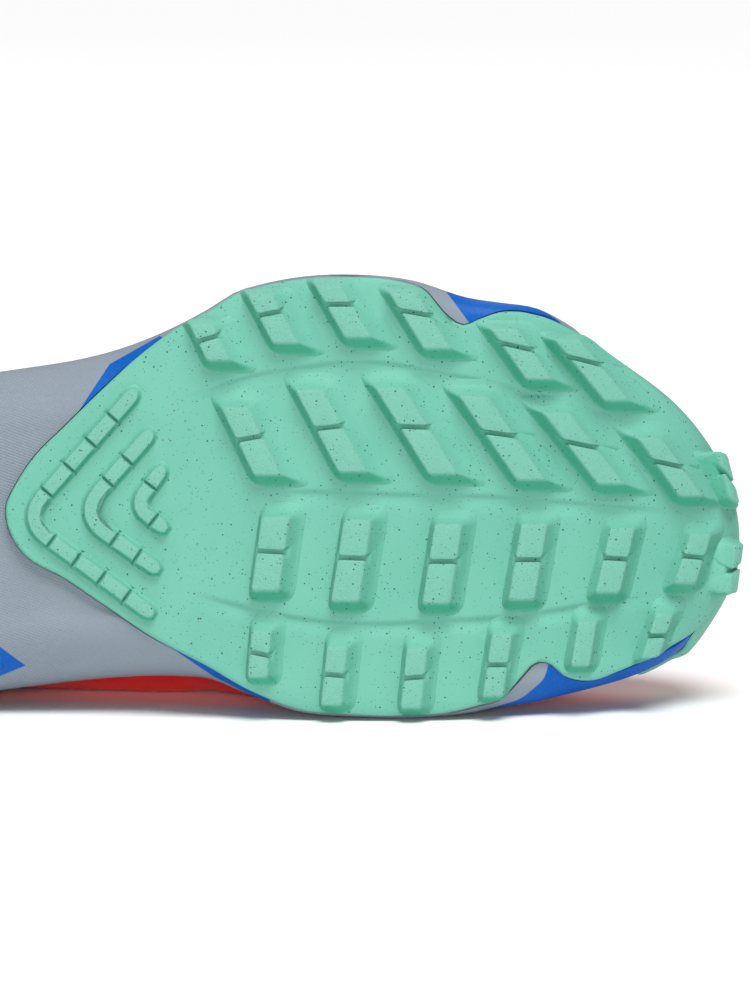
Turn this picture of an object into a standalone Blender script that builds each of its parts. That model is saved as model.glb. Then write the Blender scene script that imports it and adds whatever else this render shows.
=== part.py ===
"""Trail running shoe, right foot, EU 43, lying on its medial side with the sole to the viewer.

Every piece is modelled in the shoe's own frame and then laid down as one:
x runs from the heel to the toe, +y is medial and +z is up from the tips of the lugs.
Tables hold shares: "along" is a share of SHOE_LENGTH, and widths are shares of BALL_WIDTH.
"""

import math

import bmesh
import bpy
import numpy as np
from mathutils import Matrix, Vector

MM = 0.001

# Driving dimensions
SHOE_LENGTH = 305 * MM
BALL_WIDTH = 112 * MM
GAP = 0.3 * MM

# Outsole
LUG_HEIGHT = 4.0 * MM
CHEVRON_HEIGHT = 2.0 * MM
LUG_ROOT = 1.0 * MM
SIPE_WIDTH = 1.1 * MM
CHEVRON_WIDTH = 3.6 * MM
CHEVRON_SPREAD = 0.6 * MM
CHEVRON_ROOM = 6.2 * MM
SMALL_CHEVRON_ROOM = 3.4 * MM
EDGE_ROLL = 5 * MM
EDGE_ROLL_TOE = 11 * MM
EDGE_ROLL_HEEL = 8 * MM
SHEET_THICKNESS = 2.5 * MM
GROOVE_DEPTH = 0.7 * MM
GROOVE_WIDTH = 3.4 * MM
TOE_SPRING = 27 * MM
TOE_SPRING_START = 0.66
HEEL_BEVEL = 9 * MM
HEEL_BEVEL_END = 0.14
RECESS_MARGIN = 0.8 * MM

# Midsole
SHEET_STANDS_PROUD = 1.2 * MM
RIM_WALL = 2.6 * MM
SIDE_STEP = 0.7 * MM

# Upper and what lies on it
UPPER_WALL = 2.4 * MM
OVERLAY_THICKNESS = 1.2 * MM
EYESTAY_FRONT = 0.785
EYESTAY_ROUND = 0.075
INSOLE_THICKNESS = 4.0 * MM
TONGUE_THICKNESS = 4.2 * MM
TONGUE_CLEAR = 0.9 * MM
TONGUE_UNDERLAP = 9 * MM
TONGUE_FRONT = 0.775
TONGUE_RISE = 31 * MM
BUMPER_START = 0.882
BUMPER_THICKNESS = 1.8 * MM
BUMPER_CLEAR = 0.5 * MM
LACE_WIDTH = 5.0 * MM
LACE_THICKNESS = 1.7 * MM

EYELETS = (0.668, 0.620, 0.572, 0.524, 0.476, 0.436)
EYELET_DEPTH = 7.5 * MM
TONGUE_NARROW = 0.16

# Rows and columns of the solids
STATIONS = 32
FRONT_STATIONS = 29
FILLET_TURNS = (0, 36, 66, 90)
SIDE_LEVELS = (0.30, 0.46, 0.52, 1.0)
TONGUE_ROWS = 8
TONGUE_TOP_ROWS = 4
TONGUE_COLUMNS = 8
WELD_DIGITS = 6

# Plan of the sole at its widest line: (along, lateral, medial)
SOLE_PLAN = [
    (0.000, 0.384, 0.384),
    (0.131, 0.388, 0.391),
    (0.197, 0.396, 0.395),
    (0.279, 0.384, 0.378),
    (0.344, 0.374, 0.356),
    (0.400, 0.392, 0.336),
    (0.449, 0.414, 0.320),
    (0.475, 0.432, 0.314),
    (0.525, 0.485, 0.311),
    (0.556, 0.530, 0.318),
    (0.574, 0.561, 0.338),
    (0.594, 0.578, 0.359),
    (0.623, 0.594, 0.387),
    (0.679, 0.601, 0.402),
    (0.721, 0.589, 0.404),
    (0.770, 0.549, 0.393),
    (0.795, 0.539, 0.381),
    (0.825, 0.527, 0.369),
    (0.859, 0.482, 0.350),
    (0.902, 0.422, 0.338),
    (0.951, 0.384, 0.330),
    (1.000, 0.344, 0.326),
]
TOE_ROUND = 0.164
HEEL_ROUND = 0.138

# Plan of the forefoot rubber, with its flex notches: (along, lateral, medial)
FRONT_PLAN = [
    (0.384, 0.130, 0.040),
    (0.401, 0.178, 0.052),
    (0.421, 0.226, 0.070),
    (0.463, 0.337, 0.142),
    (0.504, 0.438, 0.217),
    (0.546, 0.517, 0.278),
    (0.587, 0.573, 0.343),
    (0.629, 0.594, 0.386),
    (0.670, 0.597, 0.400),
    (0.711, 0.587, 0.402),
    (0.733, 0.564, 0.398),
    (0.749, 0.512, 0.394),
    (0.764, 0.486, 0.386),
    (0.778, 0.500, 0.376),
    (0.795, 0.517, 0.362),
    (0.811, 0.519, 0.318),
    (0.825, 0.512, 0.279),
    (0.836, 0.504, 0.280),
    (0.850, 0.487, 0.310),
    (0.869, 0.463, 0.325),
    (0.898, 0.423, 0.312),
    (0.920, 0.400, 0.301),
    (0.940, 0.384, 0.298),
    (0.960, 0.370, 0.303),
    (1.000, 0.340, 0.320),
]
FRONT_TIP = (0.384, -0.068)
FRONT_TIP_ROUND = 0.040
EDGE_MARGIN = 0.4 * MM

# Plan of the heel rubber, notched in front to face the forefoot's point: (along, lateral, medial)
BACK_PLAN = [
    (0.000, 0.370, 0.370),
    (0.131, 0.380, 0.383),
    (0.197, 0.388, 0.387),
    (0.262, 0.372, 0.368),
    (0.318, 0.338, 0.322),
    (0.352, 0.300, 0.280),
]
BACK_NOTCH = [
    (0.000, 0.286),
    (0.180, 0.308),
    (0.420, 0.262),
    (0.500, 0.254),
    (0.580, 0.262),
    (0.820, 0.304),
    (1.000, 0.282),
]

# Shape of the midsole's side:
# (along, lateral edge radius, medial edge radius, lateral rim inset, medial rim inset)
SIDE_SHAPE = [
    (0.000, 0.070, 0.070, 0.026, 0.026),
    (0.080, 0.045, 0.045, 0.046, 0.046),
    (0.240, 0.060, 0.060, 0.040, 0.040),
    (0.370, 0.130, 0.140, 0.014, 0.008),
    (0.460, 0.110, 0.140, 0.010, 0.000),
    (0.530, 0.055, 0.120, 0.016, 0.000),
    (0.600, 0.036, 0.050, 0.020, 0.014),
    (0.700, 0.036, 0.036, 0.024, 0.020),
    (0.765, 0.055, 0.036, 0.026, 0.020),
    (0.820, 0.040, 0.062, 0.022, 0.016),
    (0.900, 0.050, 0.060, 0.012, 0.010),
    (1.000, 0.060, 0.060, 0.008, 0.008),
]

# Heights over the lug tips: (along, footbed, rim over footbed)
FOOTBED = [
    (0.000, 19.5 * MM, 9.5 * MM),
    (0.060, 22.6 * MM, 9.0 * MM),
    (0.110, 24.2 * MM, 8.4 * MM),
    (0.200, 24.8 * MM, 8.2 * MM),
    (0.300, 25.0 * MM, 8.5 * MM),
    (0.450, 23.5 * MM, 8.0 * MM),
    (0.600, 20.5 * MM, 6.0 * MM),
    (0.750, 17.5 * MM, 5.5 * MM),
    (0.900, 16.0 * MM, 5.5 * MM),
    (1.000, 15.0 * MM, 5.5 * MM),
]

# Top line of the upper, from the toe to the heel:
# (station, along, centre, half opening, height, arc in degrees, lateral belly, medial belly)
TOP_LINE = [
    (1.000, 0.920, -0.010, 0.000, 62.5 * MM, 90, 0.0 * MM, 0.0 * MM),
    (0.950, 0.892, -0.014, 0.000, 65.0 * MM, 90, 0.4 * MM, 0.4 * MM),
    (0.880, 0.850, -0.020, 0.000, 68.0 * MM, 90, 0.8 * MM, 0.8 * MM),
    (0.800, 0.796, -0.028, 0.000, 72.0 * MM, 90, 1.2 * MM, 1.2 * MM),
    (0.735, 0.738, -0.034, 0.000, 77.0 * MM, 90, 1.4 * MM, 1.6 * MM),
    (0.690, 0.690, -0.034, 0.075, 81.5 * MM, 74, 1.4 * MM, 2.4 * MM),
    (0.600, 0.600, -0.030, 0.112, 91.0 * MM, 66, 1.2 * MM, 5.6 * MM),
    (0.500, 0.506, -0.020, 0.140, 101.0 * MM, 60, 1.2 * MM, 9.0 * MM),
    (0.425, 0.434, -0.012, 0.174, 106.5 * MM, 52, 1.4 * MM, 5.4 * MM),
    (0.360, 0.368, -0.006, 0.236, 98.0 * MM, 40, 1.6 * MM, 3.0 * MM),
    (0.290, 0.300, 0.000, 0.270, 87.0 * MM, 30, 1.6 * MM, 1.8 * MM),
    (0.210, 0.222, 0.000, 0.280, 82.5 * MM, 26, 2.0 * MM, 2.0 * MM),
    (0.130, 0.140, 0.000, 0.248, 88.5 * MM, 24, 2.6 * MM, 2.6 * MM),
    (0.050, 0.064, 0.000, 0.160, 99.0 * MM, 22, 3.0 * MM, 3.0 * MM),
    (0.000, 0.030, 0.000, 0.000, 105.0 * MM, 20, 3.2 * MM, 3.2 * MM),
]
THROAT_FRONT = 0.735
THROAT_TOP = 0.405
BELLY_START = 0.12
BELLY_SKEW = 0.80
BOXINESS = 0.84

# Levels of the upper from the feather line (0) to the top line (1); the last two carry the eyestay
UPPER_SHARES = (0, 0.10, 0.20, 0.34, 0.49, 0.64, 0.78, 0.89, 1)
UPPER_LEVELS = len(UPPER_SHARES) - 1

# Charted lugs: (row, along, across, length, width, lean in degrees)
LUGS = [
    ("outer", 0.554, -0.445, 0.080, 0.052, 26),
    ("outer", 0.606, -0.496, 0.112, 0.058, 28),
    ("outer", 0.664, -0.520, 0.126, 0.060, 30),
    ("outer", 0.726, -0.478, 0.140, 0.060, 32),
    ("outer", 0.810, -0.420, 0.112, 0.060, 36),
    ("outer", 0.868, -0.384, 0.136, 0.058, 41),
    ("lateral", 0.588, -0.223, 0.152, 0.060, 26),
    ("lateral", 0.654, -0.246, 0.184, 0.062, 28),
    ("lateral", 0.724, -0.246, 0.194, 0.064, 32),
    ("lateral", 0.794, -0.230, 0.188, 0.064, 35),
    ("lateral", 0.865, -0.199, 0.162, 0.062, 39),
    ("lateral", 0.937, -0.161, 0.130, 0.058, 38),
    ("medial", 0.604, 0.031, 0.166, 0.062, -8),
    ("medial", 0.671, 0.046, 0.184, 0.062, -9),
    ("medial", 0.745, 0.054, 0.178, 0.062, -9),
    ("medial", 0.815, 0.050, 0.170, 0.060, -10),
    ("medial", 0.887, 0.047, 0.146, 0.058, -14),
    ("medial", 0.952, 0.043, 0.112, 0.054, -20),
    ("inner", 0.595, 0.255, 0.130, 0.046, -5),
    ("inner", 0.658, 0.296, 0.148, 0.048, -6),
    ("inner", 0.723, 0.306, 0.150, 0.048, -6),
    ("inner", 0.790, 0.284, 0.140, 0.046, -9),
    ("inner", 0.861, 0.237, 0.098, 0.044, -10),
    ("inner", 0.926, 0.208, 0.104, 0.044, -20),
    ("toe", 0.979, -0.136, 0.104, 0.034, 24),
    ("toe", 0.985, 0.064, 0.110, 0.034, -12),
    ("heel", 0.070, -0.180, 0.130, 0.070, 24),
    ("heel", 0.070, 0.180, 0.130, 0.070, -24),
    ("heel", 0.140, -0.250, 0.150, 0.070, -24),
    ("heel", 0.140, 0.250, 0.150, 0.070, 24),
    ("heel", 0.210, -0.255, 0.160, 0.070, -24),
    ("heel", 0.210, 0.250, 0.160, 0.070, 24),
    ("heel", 0.272, -0.250, 0.120, 0.060, -24),
    ("heel", 0.272, 0.242, 0.120, 0.060, 24),
    ("heel", 0.110, 0.000, 0.150, 0.070, 0),
    ("heel", 0.190, 0.000, 0.150, 0.070, 0),
]

# How far a lug's flanks spread from its tip to its root: (row, rear, front, lateral end, medial end)
FLANKS = {
    "outer": (1.0 * MM, 3.4 * MM, 1.2 * MM, 2.2 * MM),
    "lateral": (1.0 * MM, 3.6 * MM, 1.2 * MM, 2.2 * MM),
    "medial": (1.0 * MM, 3.0 * MM, 1.0 * MM, 2.6 * MM),
    "inner": (1.0 * MM, 2.6 * MM, 1.2 * MM, 1.8 * MM),
    "toe": (1.0 * MM, 1.2 * MM, 1.2 * MM, 1.2 * MM),
    "heel": (2.2 * MM, 1.2 * MM, 1.6 * MM, 1.6 * MM),
}

# Chevron ribs: lateral end, bend and medial end as (along, across), then the blocks on either arm
CHEVRONS = [
    ((0.489, -0.328), (0.398, -0.046), (0.507, 0.162), (5, 5)),
    ((0.504, -0.242), (0.445, -0.058), (0.512, 0.064), (3, 3)),
    ((0.516, -0.162), (0.492, -0.078), (0.517, -0.024), (1, 1)),
]

# Flex grooves as shares of the sole's full width, from the lateral edge
GROOVES = (0.20, 0.485, 0.79)
GROOVE_START = 0.53
GROOVE_FULL = 0.62
GROOVE_END = 0.93

COLOURS = {
    "outsole_forefoot": ((0.208, 0.620, 0.448), 0.75),
    "outsole_heel": ((0.208, 0.620, 0.448), 0.75),
    "midsole": ((0.33, 0.40, 0.45), 0.6),
    "insole": ((0.02, 0.09, 0.35), 0.95),
    "upper": ((0.55, 0.012, 0.010), 0.9),
    "eyestay": ((0.004, 0.12, 0.62), 0.5),
    "tongue": ((0.33, 0.40, 0.45), 0.9),
    "lace": ((0.208, 0.620, 0.448), 0.8),
}


def curve(keys, values, at):
    """Smooth curve through the table's values, with the end slopes of its end spans."""
    keys, values = np.asarray(keys, float), np.asarray(values, float)
    slopes = np.gradient(values, keys)
    at = np.clip(np.asarray(at, float), keys[0], keys[-1])
    span = np.clip(np.searchsorted(keys, at, side="right") - 1, 0, len(keys) - 2)
    step = keys[span + 1] - keys[span]
    t = (at - keys[span]) / step
    return (
        (2 * t**3 - 3 * t**2 + 1) * values[span]
        + (t**3 - 2 * t**2 + t) * step * slopes[span]
        + (3 * t**2 - 2 * t**3) * values[span + 1]
        + (t**3 - t**2) * step * slopes[span + 1]
    )


def column(table, index, at):
    return curve([row[0] for row in table], [row[index] for row in table], at)


def smooth_step(low, high, value):
    t = np.clip((np.asarray(value, float) - low) / (high - low), 0, 1)
    return t * t * (3 - 2 * t)


def round_end(distance, reach):
    """From 0 at a rounded end to 1 where the side begins, distance and reach in shares of the length."""
    away = np.clip(1 - np.asarray(distance, float) / reach, 0, 1)
    return np.sqrt(1 - away**2.5)


def sole_side(along, index):
    """Distance of the sole's edge from its axis on one side; index 1 is lateral and 2 medial."""
    along = np.clip(along, 0, 1)
    ends = round_end(along, HEEL_ROUND) * round_end(1 - along, TOE_ROUND)
    return column(SOLE_PLAN, index, along) * ends * BALL_WIDTH


def turn_stations(count):
    """Shares of the length from toe to heel, close together where the outline turns round the ends."""
    return (1 + np.cos(np.linspace(0, math.pi, count + 1))) / 2


def sole_ring(count):
    """Plan points round the sole: toe, lateral side, heel, medial side."""
    along = turn_stations(count)
    lateral = np.stack([along * SHOE_LENGTH, -sole_side(along, 1)], axis=1)
    medial = np.stack([along * SHOE_LENGTH, sole_side(along, 2)], axis=1)
    return np.concatenate([lateral, medial[-2:0:-1]])


def outward(ring):
    """Unit normals of a ring that runs toe, lateral, heel, medial."""
    run = np.roll(ring, -1, axis=0) - np.roll(ring, 1, axis=0)
    run /= np.linalg.norm(run, axis=1)[:, None]
    return np.stack([-run[:, 1], run[:, 0]], axis=1)


RING = sole_ring(STATIONS)
FINE_RING = sole_ring(5 * STATIONS)
RING_OUT = outward(RING)
RING_ALONG = RING[:, 0] / SHOE_LENGTH
RING_MEDIAL = np.arange(len(RING)) > STATIONS


def round_ring(table, lateral, medial):
    """A value for each ring point, from the table's lateral and medial columns."""
    return np.where(
        RING_MEDIAL,
        column(table, medial, RING_ALONG),
        column(table, lateral, RING_ALONG),
    )


def inset(distance):
    return RING - RING_OUT * np.asarray(distance, float).reshape(-1, 1)


def tread(x):
    """Height of the lug tips: flat, with toe spring in front and a bevel at the heel."""
    along = x / SHOE_LENGTH
    spring = np.clip((along - TOE_SPRING_START) / (1 - TOE_SPRING_START), 0, 1)
    bevel = np.clip((HEEL_BEVEL_END - along) / HEEL_BEVEL_END, 0, 1)
    return TOE_SPRING * spring**2.1 + HEEL_BEVEL * bevel**2


def footbed(x):
    return tread(x) + column(FOOTBED, 1, x / SHOE_LENGTH)


def rim(x):
    return footbed(x) + column(FOOTBED, 2, x / SHOE_LENGTH)


def edge_distance(points):
    """Distance of each plan point from the sole's outline."""
    run = np.roll(FINE_RING, -1, axis=0) - FINE_RING
    from_start = points[:, None, :] - FINE_RING[None, :, :]
    share = np.clip((from_start * run).sum(2) / (run**2).sum(1), 0, 1)
    return np.linalg.norm(from_start - share[..., None] * run, axis=2).min(1)


def edge_roll(points):
    """Rise of the outsole towards the sole's edge, strongest where it wraps the toe and the heel."""
    along = points[:, 0] / SHOE_LENGTH
    toe, heel = smooth_step(0.90, 0.985, along), smooth_step(0.08, 0, along)
    radius = EDGE_ROLL + (EDGE_ROLL_TOE - EDGE_ROLL) * toe + (EDGE_ROLL_HEEL - EDGE_ROLL) * heel
    steepness = 0.62 + 0.32 * toe + 0.20 * heel
    inside = steepness * np.clip(radius - edge_distance(points), 0, radius)
    return radius - np.sqrt(radius**2 - inside**2)


def outsole_face(points):
    """Height of the ground side of the rubber sheet, between the lugs."""
    return tread(points[:, 0]) + LUG_HEIGHT + edge_roll(points)


def above_face(points, distance):
    """Points at a distance from the sheet's ground side, square to it and into the shoe."""
    step = 0.2 * MM
    height = outsole_face(points)
    slope_x = outsole_face(points + (step, 0)) - outsole_face(points - (step, 0))
    slope_y = outsole_face(points + (0, step)) - outsole_face(points - (0, step))
    normal = np.stack([-slope_x, -slope_y, np.full(len(points), 2 * step)], axis=1)
    normal /= np.linalg.norm(normal, axis=1)[:, None]
    return np.column_stack([points, height]) + normal * distance


class Solid:
    """Points and faces gathered into one closed mesh."""

    def __init__(self):
        self.points, self.faces = [], []

    def add(self, points):
        start = len(self.points)
        self.points.extend(tuple(float(value) for value in point) for point in points)
        return list(range(start, len(self.points)))

    def strip(self, first, second, closed=True):
        """Faces between two rows of points, split the same way each time for parallel offset copies."""
        count = len(first)
        for i in range(count if closed else count - 1):
            j = (i + 1) % count
            self.faces.append((first[i], first[j], second[j]))
            self.faces.append((first[i], second[j], second[i]))

    def across(self, ring, heights):
        """Fills a ring of the sole from side to side, with one middle column at the given heights."""
        half = len(ring) // 2
        middles = {}
        for i in range(1, half):
            a, b = np.array(self.points[ring[i]]), np.array(self.points[ring[-i]])
            centre = (a + b) / 2
            centre[2] = heights(centre[0])
            middles[i] = self.add([centre])[0]
        for i in range(1, half - 1):
            self.faces.append((ring[i], ring[i + 1], middles[i + 1], middles[i]))
            self.faces.append((middles[i], middles[i + 1], ring[-i - 1], ring[-i]))
        self.faces.append((ring[0], ring[1], middles[1]))
        self.faces.append((ring[0], middles[1], ring[-1]))
        self.faces.append((ring[half], middles[half - 1], ring[half - 1]))
        self.faces.append((ring[half], ring[half + 1], middles[half - 1]))

    def object(self, name, hidden=False):
        mesh = bpy.data.meshes.new(name)
        mesh.from_pydata(self.points, [], self.faces)
        work = bmesh.new()
        work.from_mesh(mesh)
        bmesh.ops.remove_doubles(work, verts=work.verts, dist=0.00001)
        bmesh.ops.recalc_face_normals(work, faces=work.faces)
        if work.calc_volume(signed=True) < 0:
            bmesh.ops.reverse_faces(work, faces=work.faces)
        work.to_mesh(mesh)
        work.free()
        made = bpy.data.objects.new(name, mesh)
        bpy.context.collection.objects.link(made)
        if hidden:
            made.hide_render = True
            made.display_type = "WIRE"
        return made


def boolean(target, other, operation):
    modifier = target.modifiers.new(operation.lower() + "_" + other.name, "BOOLEAN")
    modifier.operation = operation
    modifier.solver = "EXACT"
    modifier.object = other


def sheet_rows(lateral, medial, shares):
    """Plan points of a sheet between two edges that meet at both ends."""
    last = len(lateral) - 1
    rows = [lateral[:1]]
    for i in range(1, last):
        share = shares(i)[:, None]
        rows.append(lateral[i] * (1 - share) + medial[i] * share)
    return rows + [lateral[last:]]


def sheet_loop(rows):
    """The edge of a sheet as (row, column) pairs: front row, lateral side, last row, medial side."""
    last = len(rows) - 1
    return (
        [(0, k) for k in range(len(rows[0]) - 1, -1, -1)]
        + [(i, 0) for i in range(1, last)]
        + [(last, k) for k in range(len(rows[last]))]
        + [(i, len(rows[i]) - 1) for i in range(last - 1, 0, -1)]
    )


def cover(body, rows):
    """Adds one face of a sheet from its rows of points and returns its edge; a row may hold one point."""
    index = [body.add(row) for row in rows]
    for first, second in zip(index, index[1:]):
        if len(first) == len(second):
            body.strip(first, second, closed=False)
        else:
            tip, row = sorted((first, second), key=len)
            for a, b in zip(row, row[1:]):
                body.faces.append((tip[0], a, b))
    return [index[i][k] for i, k in sheet_loop(rows)]


def no_dip(points):
    return np.zeros(len(points))


def sheet(name, rows, dip=no_dip):
    """A rubber sheet of even thickness over the plan points, its ground side dipped in grooves."""
    body = Solid()
    ground = []
    for row in rows:
        points = above_face(row, 0)
        points[:, 2] += dip(row)
        ground.append(points)
    low = cover(body, ground)
    high = cover(body, [above_face(row, SHEET_THICKNESS) for row in rows])
    body.strip(low, high)
    return body.object(name)


def recess(name, rows):
    """Cutter for the room that the midsole leaves for a rubber sheet; it reaches down past the lugs."""
    body = Solid()
    loop = sheet_loop(rows)
    plan = np.array([rows[i][k] for i, k in loop])
    edge = plan + outward(plan) * RECESS_MARGIN
    wide = [row.copy() for row in rows]
    for (i, k), point in zip(loop, edge):
        wide[i][k] = point
    top = [above_face(row, SHEET_THICKNESS + GAP) for row in rows]
    height = np.array([top[i][k][2] for i, k in loop])
    inner = cover(body, top)
    middle = body.add(np.column_stack([edge, height + GAP]))
    bottom = cover(body, [np.column_stack([row, tread(row[:, 0]) - LUG_HEIGHT]) for row in wide])
    body.strip(inner, middle)
    body.strip(middle, bottom)
    return body.object(name, hidden=True)


def front_edges():
    """Lateral and medial edges of the forefoot rubber, toe to rear point."""
    tip, across = FRONT_TIP
    turn = turn_stations(FRONT_STATIONS)
    even = np.linspace(1, 0, FRONT_STATIONS + 1)
    along = tip + (1 - tip) * (0.62 * turn + 0.38 * even)
    along[1] = (along[0] * 3 + along[2]) / 4
    ends = round_end(along - tip, FRONT_TIP_ROUND)
    toe = round_end(1 - along, TOE_ROUND)
    edges = []
    for index, sign in ((1, -1), (2, 1)):
        wide = sign * column(FRONT_PLAN, index, along) * toe
        share = across * toe + (wide - across * toe) * ends
        limit = sole_side(along, index) - EDGE_MARGIN * toe
        side = sign * np.minimum(sign * share * BALL_WIDTH, limit)
        edges.append(np.stack([along * SHOE_LENGTH, side], axis=1))
    edges[0][0] = edges[1][0] = (SHOE_LENGTH - EDGE_MARGIN, 0)
    edges[0][-1] = edges[1][-1] = (tip * SHOE_LENGTH, across * BALL_WIDTH)
    return edges


FRONT_LATERAL, FRONT_MEDIAL = front_edges()


def front_shares(i):
    """Columns across the forefoot rubber; three of them follow each flex groove."""
    low, high = FRONT_LATERAL[i, 1], FRONT_MEDIAL[i, 1]
    along = FRONT_LATERAL[i, 0] / SHOE_LENGTH
    even = np.array([0, 0.05, 0.15, 0.2, 0.28, 0.42, 0.48, 0.56, 0.72, 0.78, 0.85, 0.95, 1])
    left, right = -sole_side(along, 1), sole_side(along, 2)
    full = right - left
    step, wide = min(0.5 * MM, 0.01 * full), min(GROOVE_WIDTH, 0.06 * full)
    rim_step = min(2.4 * MM, 0.03 * full)
    lines = [left + share * full for share in GROOVES]
    placed = [low, low + rim_step]
    for line in lines:
        placed += [line - step, line, line + wide]
    placed += [high - rim_step, high]
    placed = (np.array(placed) - low) / (high - low)
    blend = smooth_step(0.47, 0.56, along)
    return even * (1 - blend) + placed * blend


GROOVE_COLUMNS = (3, 6, 9)


def groove_dip(points):
    """How far the ground side of a row of the forefoot sheet dips in its flex grooves."""
    along = points[:, 0] / SHOE_LENGTH
    fade = smooth_step(GROOVE_START, GROOVE_FULL, along) * smooth_step(1, GROOVE_END, along)
    depth = np.zeros(len(points))
    if len(points) > max(GROOVE_COLUMNS):
        depth[list(GROOVE_COLUMNS)] = GROOVE_DEPTH
    return depth * fade


HEEL_SHARES = np.array([0, 0.05, 0.2, 0.35, 0.5, 0.65, 0.8, 0.95, 1])
HEEL_ROWS = 12


def heel_edge(index, along):
    """Distance of the heel rubber's edge from the shoe's axis on one side."""
    wide = column(BACK_PLAN, index, along) * BALL_WIDTH * round_end(along, HEEL_ROUND)
    return np.clip(wide, 0, sole_side(along, index) - EDGE_MARGIN)


def heel_rows():
    """Plan points of the heel rubber, from its notched front edge to the heel."""
    front = column(BACK_NOTCH, 1, HEEL_SHARES)
    rows = []
    for turn in np.linspace(math.pi / 2, 0, HEEL_ROWS + 1)[:-1]:
        along = front * (1 - math.cos(turn))
        lateral, medial = -heel_edge(1, along), heel_edge(2, along)
        across = lateral * (1 - HEEL_SHARES) + medial * HEEL_SHARES
        rows.append(np.stack([along * SHOE_LENGTH, across], axis=1))
    return rows + [np.array([[EDGE_MARGIN, 0.0]])]


FRONT_ROWS = sheet_rows(FRONT_LATERAL, FRONT_MEDIAL, front_shares)
BACK_ROWS = heel_rows()


def block(body, corners, root_corners, place, height):
    """One lug block from its tip outline and its wider root outline."""
    tip = body.add([place(a, b, height) for a, b in corners])
    root = body.add([place(a, b, -LUG_ROOT) for a, b in root_corners])
    body.faces.append(tuple(tip))
    body.faces.append(tuple(reversed(root)))
    body.strip(root, tip)


def surface_frame(x, y):
    """Maps offsets along the sole, across it and out of it to a point, from a plan point of the rubber."""
    step = 0.5 * MM
    plan = np.array([[x, y], [x - step, y], [x + step, y], [x, y - step], [x, y + step]])
    z = outsole_face(plan)
    run = Vector((2 * step, 0, z[2] - z[1])).normalized()
    side = Vector((0, 2 * step, z[4] - z[3])).normalized()
    out = side.cross(run).normalized()
    origin = Vector((x, y, z[0]))
    return lambda a, b, c: origin + run * a + side * b + out * c


def split_lug(body, row, along, across, length, width, lean):
    """A leaning lug cut across by its sipe into two blocks."""
    place = surface_frame(along * SHOE_LENGTH, across * BALL_WIDTH)
    half, side = length * BALL_WIDTH / 2, width * BALL_WIDTH
    slope = math.tan(math.radians(lean))
    rear, front, lateral_end, medial_end = FLANKS[row]
    gap = SIPE_WIDTH / 2
    for low, high, low_spread, high_spread in (
        (-half, -gap, lateral_end, 0),
        (gap, half, 0, medial_end),
    ):
        tip = [
            (-side / 2 + low * slope, low),
            (side / 2 + low * slope, low),
            (side / 2 + high * slope, high),
            (-side / 2 + high * slope, high),
        ]
        low_root, high_root = low - low_spread, high + high_spread
        root = [
            (-side / 2 - rear + low * slope, low_root),
            (side / 2 + front + low * slope, low_root),
            (side / 2 + front + high * slope, high_root),
            (-side / 2 - rear + high * slope, high_root),
        ]
        block(body, tip, root, place, LUG_HEIGHT)


def chevron_arm(body, start, end, count, bend_room):
    """Rib blocks from the bend of a chevron to the end of one arm."""
    start = np.array(start) * (SHOE_LENGTH, BALL_WIDTH)
    end = np.array(end) * (SHOE_LENGTH, BALL_WIDTH)
    run = end - start
    reach = np.linalg.norm(run)
    run /= reach
    side = np.array([-run[1], run[0]])
    pitch = (reach - bend_room) / count
    gap = SIPE_WIDTH * 0.8
    for k in range(count):
        near, far = bend_room + k * pitch + gap, bend_room + (k + 1) * pitch
        half = CHEVRON_WIDTH / 2
        middle = start + run * (near + far) / 2
        place = surface_frame(*middle)
        length = (far - near) / 2
        tips = []
        for grow in (0, CHEVRON_SPREAD):
            nose = 0.35 if k == count - 1 else 1.0
            tip = half * nose
            shape = [(-length, -half), (length, -tip), (length, tip), (-length, half)]
            corners = []
            for a, b in shape:
                a, b = a + math.copysign(min(grow, gap * 0.4), a), b + math.copysign(grow, b)
                corners.append(tuple(run * a + side * b))
            if np.cross(run, side) < 0:
                corners.reverse()
            tips.append(corners)
        block(body, tips[0], tips[1], place, CHEVRON_HEIGHT)


def chevron_bend(body, bend, lateral, medial, room):
    """The rounded block in the bend of a chevron."""
    bend = np.array(bend) * (SHOE_LENGTH, BALL_WIDTH)
    arms = []
    for end in (lateral, medial):
        run = np.array(end) * (SHOE_LENGTH, BALL_WIDTH) - bend
        arms.append(run / np.linalg.norm(run))
    place = surface_frame(*bend)
    outlines = []
    for grow in (0, CHEVRON_SPREAD):
        half = CHEVRON_WIDTH / 2 + grow
        outline = []
        sides = [np.array([-run[1], run[0]]) for run in arms]
        outer = [-sides[0] * half, sides[1] * half]
        inner = [sides[0] * half, -sides[1] * half]
        back = -(arms[0] + arms[1]) / np.linalg.norm(arms[0] + arms[1])
        if np.dot(outer[0], back) < 0:
            outer, inner = [-v for v in outer], [-v for v in inner]
        reach = room - 0.1 * MM
        spread = half / max(0.35, np.linalg.norm(np.cross(arms[0], -back)))
        outline.append(arms[0] * reach + outer[0])
        outline.append(outer[0] * 0.9 + back * half * 0.1)
        outline.append(back * half * 1.1)
        outline.append(outer[1] * 0.9 + back * half * 0.1)
        outline.append(arms[1] * reach + outer[1])
        outline.append(arms[1] * reach + inner[1])
        outline.append(-back * spread)
        outline.append(arms[0] * reach + inner[0])
        turn = sum(np.cross(outline[i - 1], outline[i]) for i in range(len(outline)))
        if turn < 0:
            outline.reverse()
        outlines.append([tuple(point) for point in outline])
    block(body, outlines[0], outlines[1], place, CHEVRON_HEIGHT)


def chevron(body, lateral, bend, medial, counts):
    room = CHEVRON_ROOM if counts[0] > 1 else SMALL_CHEVRON_ROOM
    chevron_bend(body, bend, lateral, medial, room)
    chevron_arm(body, bend, lateral, counts[0], room)
    chevron_arm(body, bend, medial, counts[1], room)


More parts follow.
